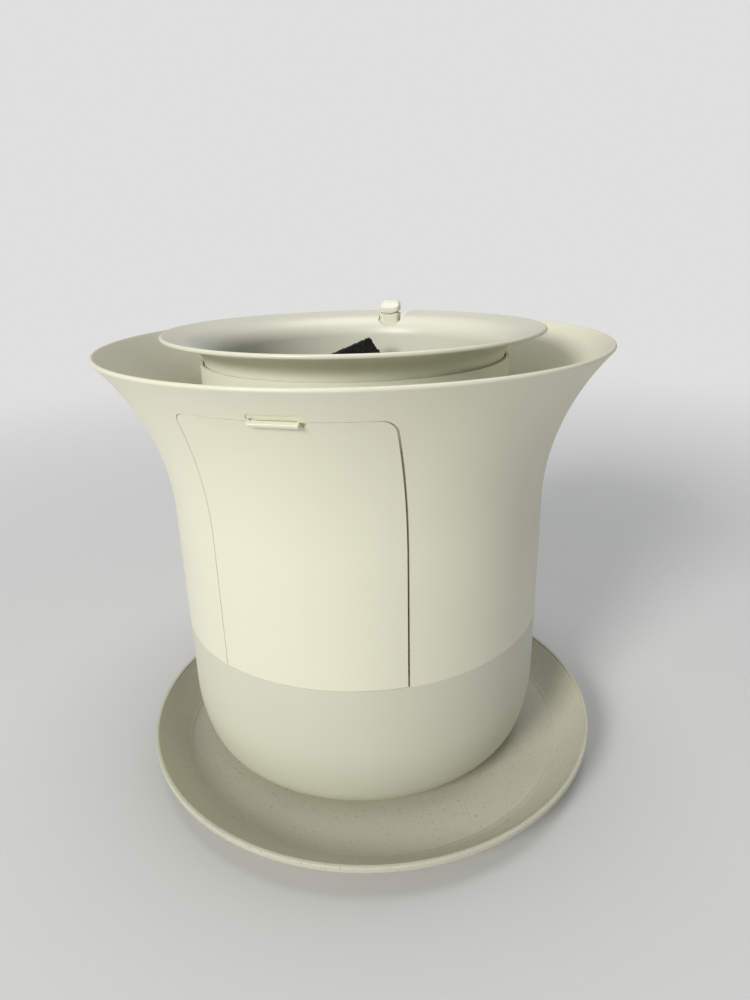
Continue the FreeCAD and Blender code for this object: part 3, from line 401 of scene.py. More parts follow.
def metal(name, colour, roughness=0.3, stretch=(1.0, 1.0, 1.0), scale=600.0, depth=0.15):
    """Bare or plated metal: stretching the noise along one axis brushes it that way."""
    material, tree, shader, place = blank_material(name)
    mapping = node_at(tree, "ShaderNodeMapping", -1200, 0, {"Vector": place, "Scale": stretch})
    lines = noise(tree, mapping.outputs["Vector"], -1000, 0, scale, 3.0, 0.6)
    base = ramp(tree, lines, -700, 200, [(0.25, tuple(value * 0.86 for value in colour)), (0.75, colour)])
    spread = node_at(tree, "ShaderNodeMapRange", -700, -100,
                     {"Value": lines, "To Min": roughness - 0.08, "To Max": roughness + 0.12})
    feed(tree, shader, {"Base Color": base, "Metallic": 1.0, "Roughness": spread.outputs["Result"]})
    bumped(tree, shader, lines, depth, 0.1 * MM)
    return material


def block(name, low, high, corner, segments=4, place=Matrix()):
    """A block between two corners with all its edges rounded, put in its place in the mesh."""
    shape = bmesh.new()
    bmesh.ops.create_cube(shape, size=1)
    size = [high[axis] - low[axis] for axis in range(3)]
    for vert in shape.verts:
        vert.co = Vector((low[axis] + (vert.co[axis] + 0.5) * size[axis] for axis in range(3)))
    if corner:
        bmesh.ops.bevel(shape, geom=shape.edges[:], offset=corner, segments=segments, profile=0.5,
                        affect="EDGES", clamp_overlap=True)
    bmesh.ops.transform(shape, matrix=place, verts=shape.verts)
    return smooth_piece(name, shape)


def joined(name, pieces):
    """Several pieces made one mesh."""
    shape = bmesh.new()
    for piece in pieces:
        shape.from_mesh(piece.data)
        dropped(piece)
    bmesh.ops.remove_doubles(shape, verts=shape.verts, dist=1e-6)
    return smooth_piece(name, shape)


def new_tree(name, **inputs):
    """A Geometry Nodes tree with named inputs, and the sockets that give their values."""
    tree = bpy.data.node_groups.new(name, "GeometryNodeTree")
    tree.interface.new_socket("Geometry", in_out="OUTPUT", socket_type="NodeSocketGeometry")
    for label, kind in inputs.items():
        tree.interface.new_socket(label, in_out="INPUT", socket_type=f"NodeSocket{kind}")
    return tree, node_at(tree, "NodeGroupInput", -900, 0).outputs


def realised(tree, given, geometry):
    """End a tree: its copies are made real, get their material and are handed out."""
    real = node_at(tree, "GeometryNodeRealizeInstances", 800, 200, {"Geometry": geometry})
    painted = node_at(tree, "GeometryNodeSetMaterial", 1000, 200,
                      {"Geometry": real.outputs["Geometry"], "Material": given["Finish"]})
    node_at(tree, "NodeGroupOutput", 1200, 200, {"Geometry": painted.outputs["Geometry"]})
    return tree


def grown(name, tree, **values):
    """The plain mesh that a tree makes from values for its inputs. The modifier is gone afterwards."""
    piece = placed(name, bpy.data.meshes.new(name))
    modifier = piece.modifiers.new("grown", "NODES")
    modifier.node_group = tree
    for item in tree.interface.items_tree:
        if item.item_type == "SOCKET" and item.in_out == "INPUT":
            modifier[item.identifier] = values[item.name]
    applied(piece)
    piece.data.name = name
    return piece


def ring_tree():
    """Copies of a shape, evenly round the pot's axis and turned to face outwards."""
    tree, given = new_tree("ring_of_copies", Shape="Object", Count="Int", Radius="Float", Height="Float",
                           Start="Float", Finish="Material")
    circle = node_at(tree, "GeometryNodeMeshCircle", -700, 200,
                     {"Vertices": given["Count"], "Radius": given["Radius"]})
    place = node_at(tree, "GeometryNodeInputPosition", -700, -100).outputs["Position"]
    split = node_at(tree, "ShaderNodeSeparateXYZ", -500, -100, {"Vector": place}).outputs
    bearing = node_at(tree, "ShaderNodeMath", -300, -100, {0: split["Y"], 1: split["X"]}, operation="ARCTAN2")
    facing = node_at(tree, "ShaderNodeCombineXYZ", -100, -100, {"Z": bearing.outputs[0]})
    source = node_at(tree, "GeometryNodeObjectInfo", -500, -400, {"Object": given["Shape"]})
    copies = node_at(tree, "GeometryNodeInstanceOnPoints", 100, 200,
                     {"Points": circle.outputs["Mesh"], "Instance": source.outputs["Geometry"],
                      "Rotation": facing.outputs["Vector"]})
    lift = node_at(tree, "ShaderNodeCombineXYZ", 100, -200, {"Z": given["Height"]})
    swing = node_at(tree, "ShaderNodeCombineXYZ", 100, -400, {"Z": given["Start"]})
    moved = node_at(tree, "GeometryNodeTransform", 300, 200,
                    {"Geometry": copies.outputs["Instances"], "Translation": lift.outputs["Vector"],
                     "Rotation": swing.outputs["Vector"]})
    return realised(tree, given, moved.outputs["Geometry"])


def pan_head(name, length, down=True):
    """A small pan-head screw with a cross recess, its head's seat at the origin."""
    side = 1 if down else -1
    head, tall, shank = 2.95 * MM, 1.55 * MM, 1.45 * MM
    profile = [(0, -side * (length - 0.1 * MM)), (0.7 * shank, -side * (length - 0.1 * MM)),
               (shank, -side * (length - 1 * MM)), (shank, 0), (head, 0), (head, side * 0.5 * tall),
               (0.86 * head, side * 0.85 * tall), (0.5 * head, side * tall), (0, side * tall)]
    screw = outward(lathe(name, profile, steps=16))
    arm, width, depth = 1.5 * MM, 0.45 * MM, 0.9 * MM
    for x, y in ((arm, width), (width, arm)):
        ends = sorted((side * (tall - depth), side * (tall + 1 * MM)))
        carved(screw, block("slot", (-x, -y, ends[0]), (x, y, ends[1]), 0))
    return screw


ring_of_copies = ring_tree()
steel = metal("zinc_steel", (0.52, 0.52, 0.5), 0.34, scale=900.0)
nickel = metal("bright_nickel", (0.66, 0.64, 0.6), 0.2, scale=500.0)
dark_plastic = moulded("dark_plastic", (0.026, 0.026, 0.027), roughness=0.5, mottle=0.1, grain=0.35,
                       grain_scale=1500.0)
black_plastic = moulded("black_plastic", (0.009, 0.009, 0.01), roughness=0.42, mottle=0.15, grain=0.3)
rubber = moulded("soft_rubber", (0.014, 0.014, 0.014), roughness=0.7, mottle=0.2, grain=0.5,
                 grain_scale=1100.0)

finish(rounded_copy("base_plate"), dark_plastic, "housing", "dark_plastic", "base_plate")
foot_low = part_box("rubber_feet")[0].z
# A pad's half section in millimetres: its flat tread with one round groove, then its side and top.
foot_section = ((0, 0), (4.5, 0), (4.7, 0.3), (5.3, 0.3), (5.5, 0), (7.7, 0), (7.95, 0.25), (7.95, 0.99),
                (0, 0.99))
foot = outward(lathe("foot", [(x * MM, z * MM) for x, z in foot_section], steps=40))
foot_count, foot_ring, screw_ring = 4, 79 * MM, 74 * MM
feet = grown("rubber_pads", ring_of_copies, Shape=foot, Count=foot_count, Radius=foot_ring, Height=foot_low,
             Start=0.0, Finish=rubber)
finish(feet, rubber, "housing", "rubber", "rubber_feet")
base_screw = pan_head("base_screw", 3.2 * MM, down=False)
base_screws = grown("base_screw_set", ring_of_copies, Shape=base_screw, Count=foot_count, Radius=screw_ring,
                    Height=bowl_base + 1.6 * MM, Start=math.pi / 4, Finish=steel)
finish(base_screws, steel, "housing", "steel", "base_screws")
dropped(foot, base_screw)


def board_material():
    """Green solder mask over copper tracks that run in short straight lengths, with pale pads."""
    material, tree, shader, place = blank_material("solder_mask")
    tracks = node_at(tree, "ShaderNodeTexBrick", -1100, 100,
                     {"Vector": place, "Scale": 120.0, "Mortar Size": 0.045, "Color1": (0.0, 0.0, 0.0, 1),
                      "Color2": (0.25, 0.25, 0.25, 1), "Mortar": (1.0, 1.0, 1.0, 1)}).outputs["Color"]
    mask = ramp(tree, tracks, -800, 100,
                [(0.0, (0.008, 0.075, 0.03)), (0.3, (0.011, 0.095, 0.038)), (1.0, (0.03, 0.19, 0.07))])
    pads = node_at(tree, "ShaderNodeTexVoronoi", -1100, -300,
                   {"Vector": place, "Scale": 190.0, "Randomness": 0.35})
    dots = ramp(tree, pads.outputs["Distance"], -800, -300, [(0.16, (1, 1, 1)), (0.2, (0, 0, 0))])
    mix = node_at(tree, "ShaderNodeMix", -450, 0, {"Factor": dots, "A": mask, "B": (0.5, 0.48, 0.42, 1)},
                  data_type="RGBA")
    feed(tree, shader, {"Base Color": mix.outputs["Result"], "Roughness": 0.3})
    bumped(tree, shader, tracks, 0.3, 0.1 * MM)
    return material


dress("control_board", board_material())
board_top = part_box("control_board")[1].z
board_hole_x, board_hole_y = 37 * MM, 25 * MM
screws = []
for x in (-board_hole_x, board_hole_x):
    for y in (-board_hole_y, board_hole_y):
        screw = pan_head("board_screw", 7.5 * MM)
        screw.data.transform(Matrix.Translation((x, y, board_top)))
        screws.append(screw)
finish(joined("board_screw_set", screws), steel, "housing", "steel", "board_screws")

epoxy = moulded("black_epoxy", (0.012, 0.012, 0.013), roughness=0.3, mottle=0.2, grain=0.2)
white_nylon = moulded("white_nylon", (0.62, 0.6, 0.54), roughness=0.45, mottle=0.05, grain=0.2)


def on_board(name, low, high, corner=0.0, segments=1):
    """A block on the board, from two corners in millimetres that count up from the board's top."""
    spots = [(x * MM, y * MM, board_top + z * MM) for x, y, z in (low, high)]
    return block(name, *spots, corner * MM, segments)


def capacitor(x, y, radius, height):
    """An electrolytic can: a rolled foot, a groove, and a scored flat top."""
    low, high = board_top, board_top + height
    profile = [(0, low), (radius, low), (radius, low + 1.2 * MM), (radius - 0.5 * MM, low + 1.7 * MM),
               (radius, low + 2.2 * MM), (radius, high - 0.6 * MM), (radius - 0.6 * MM, high),
               (radius - 1.4 * MM, high), (radius - 1.5 * MM, high - 0.3 * MM), (0, high - 0.3 * MM)]
    can = outward(lathe("can", profile, (x, y), 36))
    for wide, deep in ((0.8 * radius, 0.2 * MM), (0.2 * MM, 0.8 * radius)):
        carved(can, block("score", (x - wide, y - deep, high - 0.5 * MM), (x + wide, y + deep, high), 0))
    return can


cans = joined("capacitors", [capacitor(-20 * MM, 12 * MM, 5.9 * MM, 14.9 * MM),
                             capacitor(-6 * MM, 14 * MM, 4.9 * MM, 11.9 * MM)])
finish(weighted(cans), epoxy, "housing", "component_black", "board_components")
relay = on_board("relay", (8.1, 4.1, 0), (26.9, 18.9, 13.9), 0.6, 3)
chip = on_board("chip", (-13.9, -13.2, 0.4), (-0.1, -4.8, 1.9), 0.25, 2)
carved(chip, rod("dot", 0.6 * MM, board_top + 1.6 * MM, board_top + 3 * MM, (-12.4 * MM, -11.6 * MM), 16))
chip_legs = [on_board("leg", (x - 0.3, y - 0.4, 0), (x + 0.3, y + 0.4, 0.9), 0.1)
             for y in (-13.6, -4.4) for x in range(-13, 0, 2)]
finish(weighted(joined("relay_and_chip", [relay, chip])), epoxy, "housing", "component_black")
finish(joined("chip_legs", chip_legs), nickel, "housing", "nickel")


def plug(left, right):
    """A white plug header, a box with an open slot on top. Its sides are in millimetres."""
    shell = on_board("shell", (left, -23.9, 0), (right, -18.1, 7.9), 0.35, 2)
    return carved(shell, on_board("well", (left + 0.9, -23, 2), (right - 0.9, -19, 9)))


plugs = joined("plug_headers", [plug(12.1, 25.9), plug(-27.9, -18.1)])
finish(weighted(plugs), white_nylon, "housing", "component_black")
pins = [on_board("pin", (x - 0.3, -21.3, 1), (x + 0.3, -20.7, 6.5), 0.08)
        for x in (14.5, 17.5, 20.5, 23.5, -25.5, -23, -20.5)]
finish(joined("plug_pins", pins), nickel, "housing", "nickel")

socket_bore, socket_thread, socket_flange = 2.75 * MM, 5.95 * MM, 8.9 * MM
socket_depth, socket_length, flange_thick = 10.2 * MM, 21.9 * MM, 1.95 * MM
inlet_profile = [(0, -socket_depth), (socket_bore, -socket_depth), (socket_bore, -0.5 * MM),
                 (socket_bore + 0.45 * MM, 0), (socket_flange - 0.5 * MM, 0), (socket_flange, -0.5 * MM),
                 (socket_flange, -flange_thick), (socket_thread, -flange_thick),
                 (socket_thread, -socket_length), (0, -socket_length)]
socket = outward(lathe("dc_socket", inlet_profile, steps=48))
socket.data.transform(inlet_place)
finish(weighted(softened(socket, 0.15 * MM, 2)), black_plastic, "housing", "black_plastic", "dc_inlet")
pin = outward(lathe("dc_socket_pin", [(0, -10.4 * MM), (0.98 * MM, -10.4 * MM), (0.98 * MM, -1.6 * MM),
                                      (0.5 * MM, -1.05 * MM), (0, -1.05 * MM)], steps=20))
pin.data.transform(inlet_place)
finish(pin, nickel, "housing", "nickel")
nut_front, nut_back = (edge.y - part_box("dc_inlet")[1].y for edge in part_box("inlet_nut"))
nut = rod("inlet_nut_hexagon", socket_flange, nut_front, nut_back, steps=6)
bore = rod("bore", socket_thread + 0.1 * MM, nut_front - 1 * MM, nut_back + 1 * MM)
nut.data.transform(inlet_place)
bore.data.transform(inlet_place)
finish(weighted(softened(carved(nut, bore), 0.3 * MM, 2)), nickel, "housing", "nickel", "inlet_nut")

# ---------------------------------------------------------------- fan, heater and chamber floor
# A slotted deck on the bowl's ledge carries the axial fan below it and, above, a ring with two coiled
# heating wires, a thermal cut-out and the slotted steel floor of the drying chamber.

deck_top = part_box("fan_deck")[1].z
finish(rounded_copy("fan_deck", 0.4 * MM), dark_plastic, "housing", "dark_plastic", "fan_deck")
deck_screw = pan_head("deck_screw", 6 * MM)
deck_screw_ring = lap_inner - 3.6 * MM
deck_screws = grown("deck_screw_set", ring_of_copies, Shape=deck_screw, Count=4, Radius=deck_screw_ring,
                    Height=deck_top, Start=math.pi / 4, Finish=steel)
finish(deck_screws, steel, "housing", "steel", "deck_screws")
dropped(deck_screw)


def winding_material():
    """Enamelled copper wire wound in close level turns, with painted shade in the grooves between the turns.
    """
    material, tree, shader, place = blank_material("copper_winding")
    turns = node_at(tree, "ShaderNodeTexWave", -900, 0,
                    {"Vector": place, "Scale": 420.0, "Distortion": 1.5, "Detail": 2.0},
                    wave_type="BANDS", bands_direction="Z").outputs["Fac"]
    # The dark bands between the turns are painted shade in the grooves. The light bands are the copper's own
    # colour.
    colour = ramp(tree, turns, -600, 0, [(0.0, (0.12, 0.035, 0.012)), (1.0, (0.62, 0.25, 0.1))])
    feed(tree, shader, {"Base Color": colour, "Metallic": 0.9, "Roughness": 0.32})
    bumped(tree, shader, turns, 0.8, 0.4 * MM)
    return material


finish(rounded_copy("fan_frame", 0.5 * MM), black_plastic, "housing", "black_plastic", "fan_frame")
dress("fan_motor", winding_material())
dress("fan_shaft", steel)
rotor_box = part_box("fan_rotor")
rotor_low, rotor_high = rotor_box[0].z, rotor_box[1].z
hub_radius, tip_radius = 19 * MM, 58.5 * MM
shaft_radius = 2 * MM
cup_inner = hub_radius - 2.5 * MM
cup_under = rotor_high - 5 * MM
hub_profile = [(shaft_radius, cup_under), (cup_inner, cup_under), (cup_inner, rotor_low),
               (hub_radius, rotor_low), (hub_radius, rotor_high - 2 * MM),
               (hub_radius - 0.6 * MM, rotor_high - 0.6 * MM), (hub_radius - 2 * MM, rotor_high),
               (shaft_radius, rotor_high), (shaft_radius, cup_under)]
hub = outward(lathe("hub", hub_profile, steps=64))


def closed_stack(name, rows):
    """A solid through rings from bottom to top, with its two ends closed by flat faces."""
    piece = grid_mesh(name, rows, closed=True)
    shape = shape_of(piece.data)
    bmesh.ops.holes_fill(shape, edges=shape.edges[:], sides=0)
    bmesh.ops.remove_doubles(shape, verts=shape.verts, dist=1e-6)
    return outward(reshaped(piece, shape))


def fan_blade(pitch=38.0, steps=10):
    """One blade from the hub to the tip, cambered, and twisted flatter towards the tip."""
    rows = []
    middle = (rotor_low + rotor_high) / 2
    for step in range(steps + 1):
        share = step / steps
        reach = hub_radius - 1.5 * MM + (tip_radius - hub_radius + 1.5 * MM) * share
        tilt = math.radians(pitch + 8 - 14 * share)
        chord = (14 + 12 * share) * MM
        sweep = 0.12 * share ** 2
        upper, lower = [], []
        for index in range(9):
            along = index / 8 - 0.5
            camber = 1.6 * MM * (1 - 4 * along ** 2)
            thick = 0.9 * MM * (1 - (2 * along) ** 4) + 0.15 * MM
            for side, line in ((1, upper), (-1, lower)):
                across = along * chord * math.cos(tilt) - (camber + side * thick) * math.sin(tilt)
                rise = along * chord * math.sin(tilt) + (camber + side * thick) * math.cos(tilt)
                turn = sweep + across / reach
                line.append((reach * math.cos(turn), reach * math.sin(turn), middle + rise))
        rows.append(upper + lower[::-1])
    return closed_stack("blade", rows)


blade = fan_blade()
rotor_blades = grown("blades", ring_of_copies, Shape=blade, Count=7, Radius=0.0001, Height=0.0, Start=0.0,
                     Finish=black_plastic)
dropped(blade)
rotor = weighted(joined("fan_rotor_wheel", [hub, rotor_blades]))
finish(rotor, black_plastic, "fan_rotor", "black_plastic", "fan_rotor")

ceramic = moulded("cream_ceramic", (0.6, 0.55, 0.45), roughness=0.6, mottle=0.06, grain=0.4,
                  grain_scale=1200.0)
finish(rounded_copy("heater_frame", 0.4 * MM), ceramic, "housing", "ceramic", "heater_frame")
finish(rounded_copy("thermal_cutout"), epoxy, "housing", "component_black", "thermal_cutout")


def reckoned(tree, x, y, operation, *values):
    """The result of one operation on numbers or sockets."""
    return node_at(tree, "ShaderNodeMath", x, y, dict(enumerate(values)), operation=operation).outputs[0]


def coil_tree():
    """A wire wound in small even turns whose axis is itself a circle about the pot's axis."""
    tree, given = new_tree("round_coil", Radius="Float", Turn="Float", Wire="Float", Turns="Int",
                           Points="Int", Height="Float", Finish="Material")
    circle = node_at(tree, "GeometryNodeCurvePrimitiveCircle", -700, 300,
                     {"Resolution": given["Points"], "Radius": given["Radius"]})
    along = node_at(tree, "GeometryNodeSplineParameter", -700, -100).outputs["Factor"]
    winds = reckoned(tree, -500, -100, "MULTIPLY", along, given["Turns"])
    angle = reckoned(tree, -300, -100, "MULTIPLY", winds, 2 * math.pi)
    aside = reckoned(tree, 50, -100, "MULTIPLY", reckoned(tree, -100, -100, "COSINE", angle), given["Turn"])
    above = reckoned(tree, 50, -300, "MULTIPLY", reckoned(tree, -100, -300, "SINE", angle), given["Turn"])
    place = node_at(tree, "GeometryNodeInputPosition", -700, -500).outputs["Position"]
    out = node_at(tree, "ShaderNodeVectorMath", -500, -500, {0: place}, operation="NORMALIZE")
    reach = node_at(tree, "ShaderNodeVectorMath", 200, -400, {0: out.outputs["Vector"], "Scale": aside},
                    operation="SCALE")
    rise = reckoned(tree, 200, -600, "ADD", above, given["Height"])
    lift = node_at(tree, "ShaderNodeCombineXYZ", 350, -600, {"Z": rise})
    total = node_at(tree, "ShaderNodeVectorMath", 450, -400,
                    {0: reach.outputs["Vector"], 1: lift.outputs["Vector"]}, operation="ADD")
    moved = node_at(tree, "GeometryNodeSetPosition", 500, 300,
                    {"Geometry": circle.outputs["Curve"], "Offset": total.outputs["Vector"]})
    section = node_at(tree, "GeometryNodeCurvePrimitiveCircle", 300, 100,
                      {"Resolution": 6, "Radius": given["Wire"]})
    wire = node_at(tree, "GeometryNodeCurveToMesh", 650, 300,
                   {"Curve": moved.outputs["Geometry"], "Profile Curve": section.outputs["Curve"]})
    return realised(tree, given, wire.outputs["Mesh"])


coil_metal = metal("heating_wire", (0.42, 0.38, 0.34), 0.38, scale=1500.0)
coil_middle = (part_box("heater_coils")[0].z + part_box("heater_coils")[1].z) / 2
coil_turn, coil_wire = 1.05 * MM, 0.3 * MM
points_per_turn = 9
round_coil = coil_tree()
coils = []
for radius, turns in ((24 * MM, 74), (45 * MM, 140)):
    coils.append(outward(grown("coil", round_coil, Radius=radius, Turn=coil_turn, Wire=coil_wire, Turns=turns,
                               Points=turns * points_per_turn, Height=coil_middle, Finish=coil_metal)))
finish(joined("heater_coil_wires", coils), coil_metal, "housing", "nickel", "heater_coils")
stainless = metal("brushed_stainless", (0.58, 0.58, 0.56), 0.28, stretch=(0.04, 1.0, 1.0), scale=900.0,
                  depth=0.25)
dress("floor_grille", stainless)

# ---------------------------------------------------------------- upper pot
# The cream upper half of the pot: a thin moulded wall that runs straight up from the seam and then flares
# out to a rounded rim. The front door's opening is cut through it, with a finger recess over its top edge.

flare_radius = 140 * MM
rim_radius = 150 * MM
flare_turn = math.acos(1 - (rim_radius - body_radius) / flare_radius)
flare_start = saucer_floor + 168 * MM
door_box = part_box("front_door")
opening_half = door_box[1].x + 0.8 * MM
opening_top = saucer_floor + 244.7 * MM
opening_corner = 6 * MM
MAIN_COLUMNS = 168
DOOR_COLUMNS = 36
pot_cream = moulded("pot_cream", linear(225, 223, 201), roughness=0.38, mottle=0.015, grain=0.10)


def wall_radius(height):
    """Outside radius of the pot at a height: straight, then the flare."""
    if height <= flare_start:
        return body_radius
    rise = height - flare_start
    return body_radius + flare_radius - math.sqrt(flare_radius ** 2 - rise ** 2)


def ring_points(radius, height, start, end, steps):
    """Points of an arc about the pot's axis at a height, from one direction to another in radians."""
    turns = [start + (end - start) * step / steps for step in range(steps + 1)]
    return [(radius * math.cos(turn), radius * math.sin(turn), height) for turn in turns]


def levels(low, high, step):
    """Heights from one to another in nearly even steps."""
    count = max(1, round((high - low) / step))
    return [low + (high - low) * index / count for index in range(count + 1)]


def opening_rows(low, high, half, corner, steps=7):
    """(height, half width) pairs up an opening whose two top corners are rounded."""
    rows = [(height, half) for height in levels(low, high - corner, 5 * MM)]
    for step in range(1, steps + 1):
        turn = math.pi / 2 * step / steps
        rows.append((high - corner + corner * math.sin(turn), half - corner + corner * math.cos(turn)))
    return rows


def thickened(piece, wall):
    """Give an outer surface its wall, towards the axis."""
    faces = piece.data.polygons
    if sum(face.normal.xy.dot(face.center.xy) for face in faces) < 0:
        piece.data.flip_normals()
    solidify = piece.modifiers.new("wall", "SOLIDIFY")
    solidify.thickness = wall
    solidify.offset = -1
    solidify.use_even_offset = True
    return outward(applied(piece))


def round_edges(piece, width, segments, chosen=lambda middle: True, angle=40):
    """Round those sharp edges of a mesh whose middle is chosen."""
    shape = shape_of(piece.data)
    sharp = [edge for edge in shape.edges
             if len(edge.link_faces) == 2 and edge.calc_face_angle() > math.radians(angle)
             and chosen((edge.verts[0].co + edge.verts[1].co) / 2)]
    bmesh.ops.bevel(shape, geom=sharp, offset=width, segments=segments, profile=0.5, affect="EDGES",
                    clamp_overlap=True)
    reshaped(piece, shape)
    piece.data.shade_smooth()
    return piece


FRONT = -math.pi / 2


def tube_with_opening(name, radius_at, low, high, opening, wall, step=1.6 * MM):
    """A round wall with an opening at the front that has flat sides and two rounded top corners."""
    open_low, open_high, half, corner = opening
    side_rows = []
    for height, half_width in opening_rows(open_low, open_high, half, corner):
        away = math.asin(half_width / radius_at(height))
        side_rows.append(ring_points(radius_at(height), height, FRONT + away, FRONT + 2 * math.pi - away,
                                     MAIN_COLUMNS))
    bands = [grid_mesh("sides", side_rows)]
    for band_low, band_high, half_width in ((low, open_low, half), (open_high, high, half - corner)):
        if band_high - band_low < 1e-6:
            continue
        away = math.asin(half_width / radius_at(open_low if band_low == low else open_high))
        rows = []
        for height in levels(band_low, band_high, step):
            radius = radius_at(height)
            main = ring_points(radius, height, FRONT + away, FRONT + 2 * math.pi - away, MAIN_COLUMNS)
            front = ring_points(radius, height, FRONT - away, FRONT + away, DOOR_COLUMNS)
            rows.append(main + front[1:-1])
        bands.append(grid_mesh("band", rows, closed=True))
    return thickened(outward(joined(name, bands)), wall)


def on_flare(height, across=0.0):
    """A place on the flare's outer face at the front, off the middle by a shift and leaning with the face."""
    lean = math.asin((height - flare_start) / flare_radius)
    reach = body_radius + flare_radius * (1 - math.cos(lean))
    return Matrix.Translation((across, -reach, height)) @ Matrix.Rotation(lean, 4, "X")


def pill(width, band, corner):
    """The outline of an oblong with rounded corners about its middle, as (x, z) points."""
    right, top = width / 2 - corner, band / 2 - corner
    outline = []
    for x, z, start in ((right, top, 0), (-right, top, 90), (-right, -top, 180), (right, -top, 270)):
        outline += arc((x, z), corner, start, start + 90, 6)
    return outline


def extruded(name, outline, front, back, place=Matrix()):
    """A flat outline of (x, z) points given a thickness along Y, then put in its place in the mesh."""
    count = len(outline)
    verts = [(x, front, z) for x, z in outline] + [(x, back, z) for x, z in outline]
    faces = [list(range(count)), list(range(2 * count - 1, count - 1, -1))]
    for index in range(count):
        after = (index + 1) % count
        faces.append([index, index + count, after + count, after])
    mesh = bpy.data.meshes.new(name)
    mesh.from_pydata([place @ Vector(vert) for vert in verts], [], faces)
    return outward(placed(name, mesh))


rim_top = flare_start + flare_radius * math.sin(flare_turn)
rim_round = 1.1 * MM
recess_width = 26.6 * MM
recess_band = 4.4 * MM
recess_depth = 0.8 * MM
recess_corner = 1.9 * MM
recess_shift = 1.5 * MM
# The small dark hole where the recess's left end meets the door's top edge.
corner_width, corner_band, corner_round = 2.8 * MM, 1.6 * MM, 0.7 * MM
corner_depth, corner_shift = 5 * MM, -9.2 * MM
cut_front = -4 * MM
pot = tube_with_opening("upper_pot_shell", wall_radius, seam, rim_top,
                        (seam, opening_top, opening_half, opening_corner), shell_wall)
round_edges(pot, rim_round, 4, lambda middle: middle.z > rim_top - 0.5 * MM)
recess_place = on_flare(opening_top + recess_band / 2 - 0.6 * MM, recess_shift)
recess_outline = pill(recess_width, recess_band, recess_corner)
carved(pot, extruded("recess", recess_outline, cut_front, recess_depth, recess_place))
carved(pot, extruded("corner", pill(corner_width, corner_band, corner_round), cut_front, corner_depth,
                     on_flare(opening_top + 0.2 * MM, corner_shift)))
round_edges(pot, 0.2 * MM, 2, lambda middle: middle.z < rim_top - 4 * MM)
weighted(pot)
finish(pot, pot_cream, "housing", "pot_plastic", "upper_pot")

# ---------------------------------------------------------------- drying chamber
# The tube inside the pot where the food dries: a thin pale moulding screwed to the fan deck, open at the
# top, with a window at the front for the tray rack and a narrow seat inside for the collar.

chamber_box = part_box("drying_chamber")
chamber_radius = chamber_box[1].x
chamber_wall = 1.8 * MM
window_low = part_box("rack_panel")[0].z - 0.3 * MM
window_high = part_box("rack_panel")[1].z + 0.5 * MM
window_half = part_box("rack_panel")[1].x + 0.5 * MM
window_corner = 3 * MM
seat_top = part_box("collar")[0].z
collar_pale = moulded("collar_pale", linear(221, 221, 202), roughness=0.36, mottle=0.02, grain=0.07)
chamber = tube_with_opening("drying_chamber_tube", lambda height: chamber_radius, chamber_box[0].z,
                            chamber_box[1].z, (window_low, window_high, window_half, window_corner),
                            chamber_wall, 6 * MM)
round_edges(chamber, 0.35 * MM, 3)
seat_outer = chamber_radius - chamber_wall + 0.1 * MM
seat_inner = seat_outer - 3.8 * MM
seat_thick, seat_root = 2 * MM, 5.6 * MM
seat = lathe("seat", [(seat_outer, seat_top), (seat_inner, seat_top), (seat_inner, seat_top - seat_thick),
                      (seat_outer, seat_top - seat_root), (seat_outer, seat_top)], steps=128)
chamber = joined("drying_chamber_tube", [chamber, outward(seat)])
weighted(chamber)
finish(chamber, collar_pale, "housing", "collar_plastic", "drying_chamber")
chamber_screw = pan_head("chamber_screw", 5.3 * MM)
chamber_screw_ring = chamber_radius - 5.15 * MM
chamber_screw_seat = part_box("chamber_screws")[1].z - 1.6 * MM
chamber_screws = grown("chamber_screw_set", ring_of_copies, Shape=chamber_screw, Count=4,
                       Radius=chamber_screw_ring, Height=chamber_screw_seat, Start=math.pi / 3, Finish=steel)
finish(chamber_screws, steel, "housing", "steel", "chamber_screws")
dropped(chamber_screw)
for runner in ("runner_left", "runner_right"):
    finish(rounded_copy(runner), dark_plastic, "housing", "dark_plastic", runner)
finish(rounded_copy("keeper_plates", 0.2 * MM), nickel, "housing", "nickel", "keeper_plates")

# ---------------------------------------------------------------- tray rack
# Everything behind the front door that pulls out with it: the panel that closes the chamber's window, four
# spacers, two ledged sides with magnets at their back ends, and four steel trays with perforated sheets.

rack_white = moulded("rack_plastic_pale", linear(214, 212, 196), roughness=0.45, mottle=0.03, grain=0.2)
finish(rounded_copy("rack_panel", 0.4 * MM), collar_pale, "tray_rack", "collar_plastic", "rack_panel")
for side in ("rack_side_left", "rack_side_right"):
    finish(rounded_copy(side, 0.35 * MM), rack_white, "tray_rack", "rack_plastic", side)
finish(rounded_copy("rack_magnets"), nickel, "tray_rack", "nickel", "rack_magnets")


def ring(half_x, half_y, corner, height, centre_y, steps=8):
    """The points of a rounded rectangle about a middle on the Y axis."""
    spots = []
    for turn, sign_x, sign_y in ((0, 1, 1), (1, -1, 1), (2, -1, -1), (3, 1, -1)):
        for step in range(steps + 1):
            angle = math.pi / 2 * (turn + step / steps)
            spots.append((sign_x * (half_x - corner) + corner * math.cos(angle),
                          centre_y + sign_y * (half_y - corner) + corner * math.sin(angle), height))
    return spots


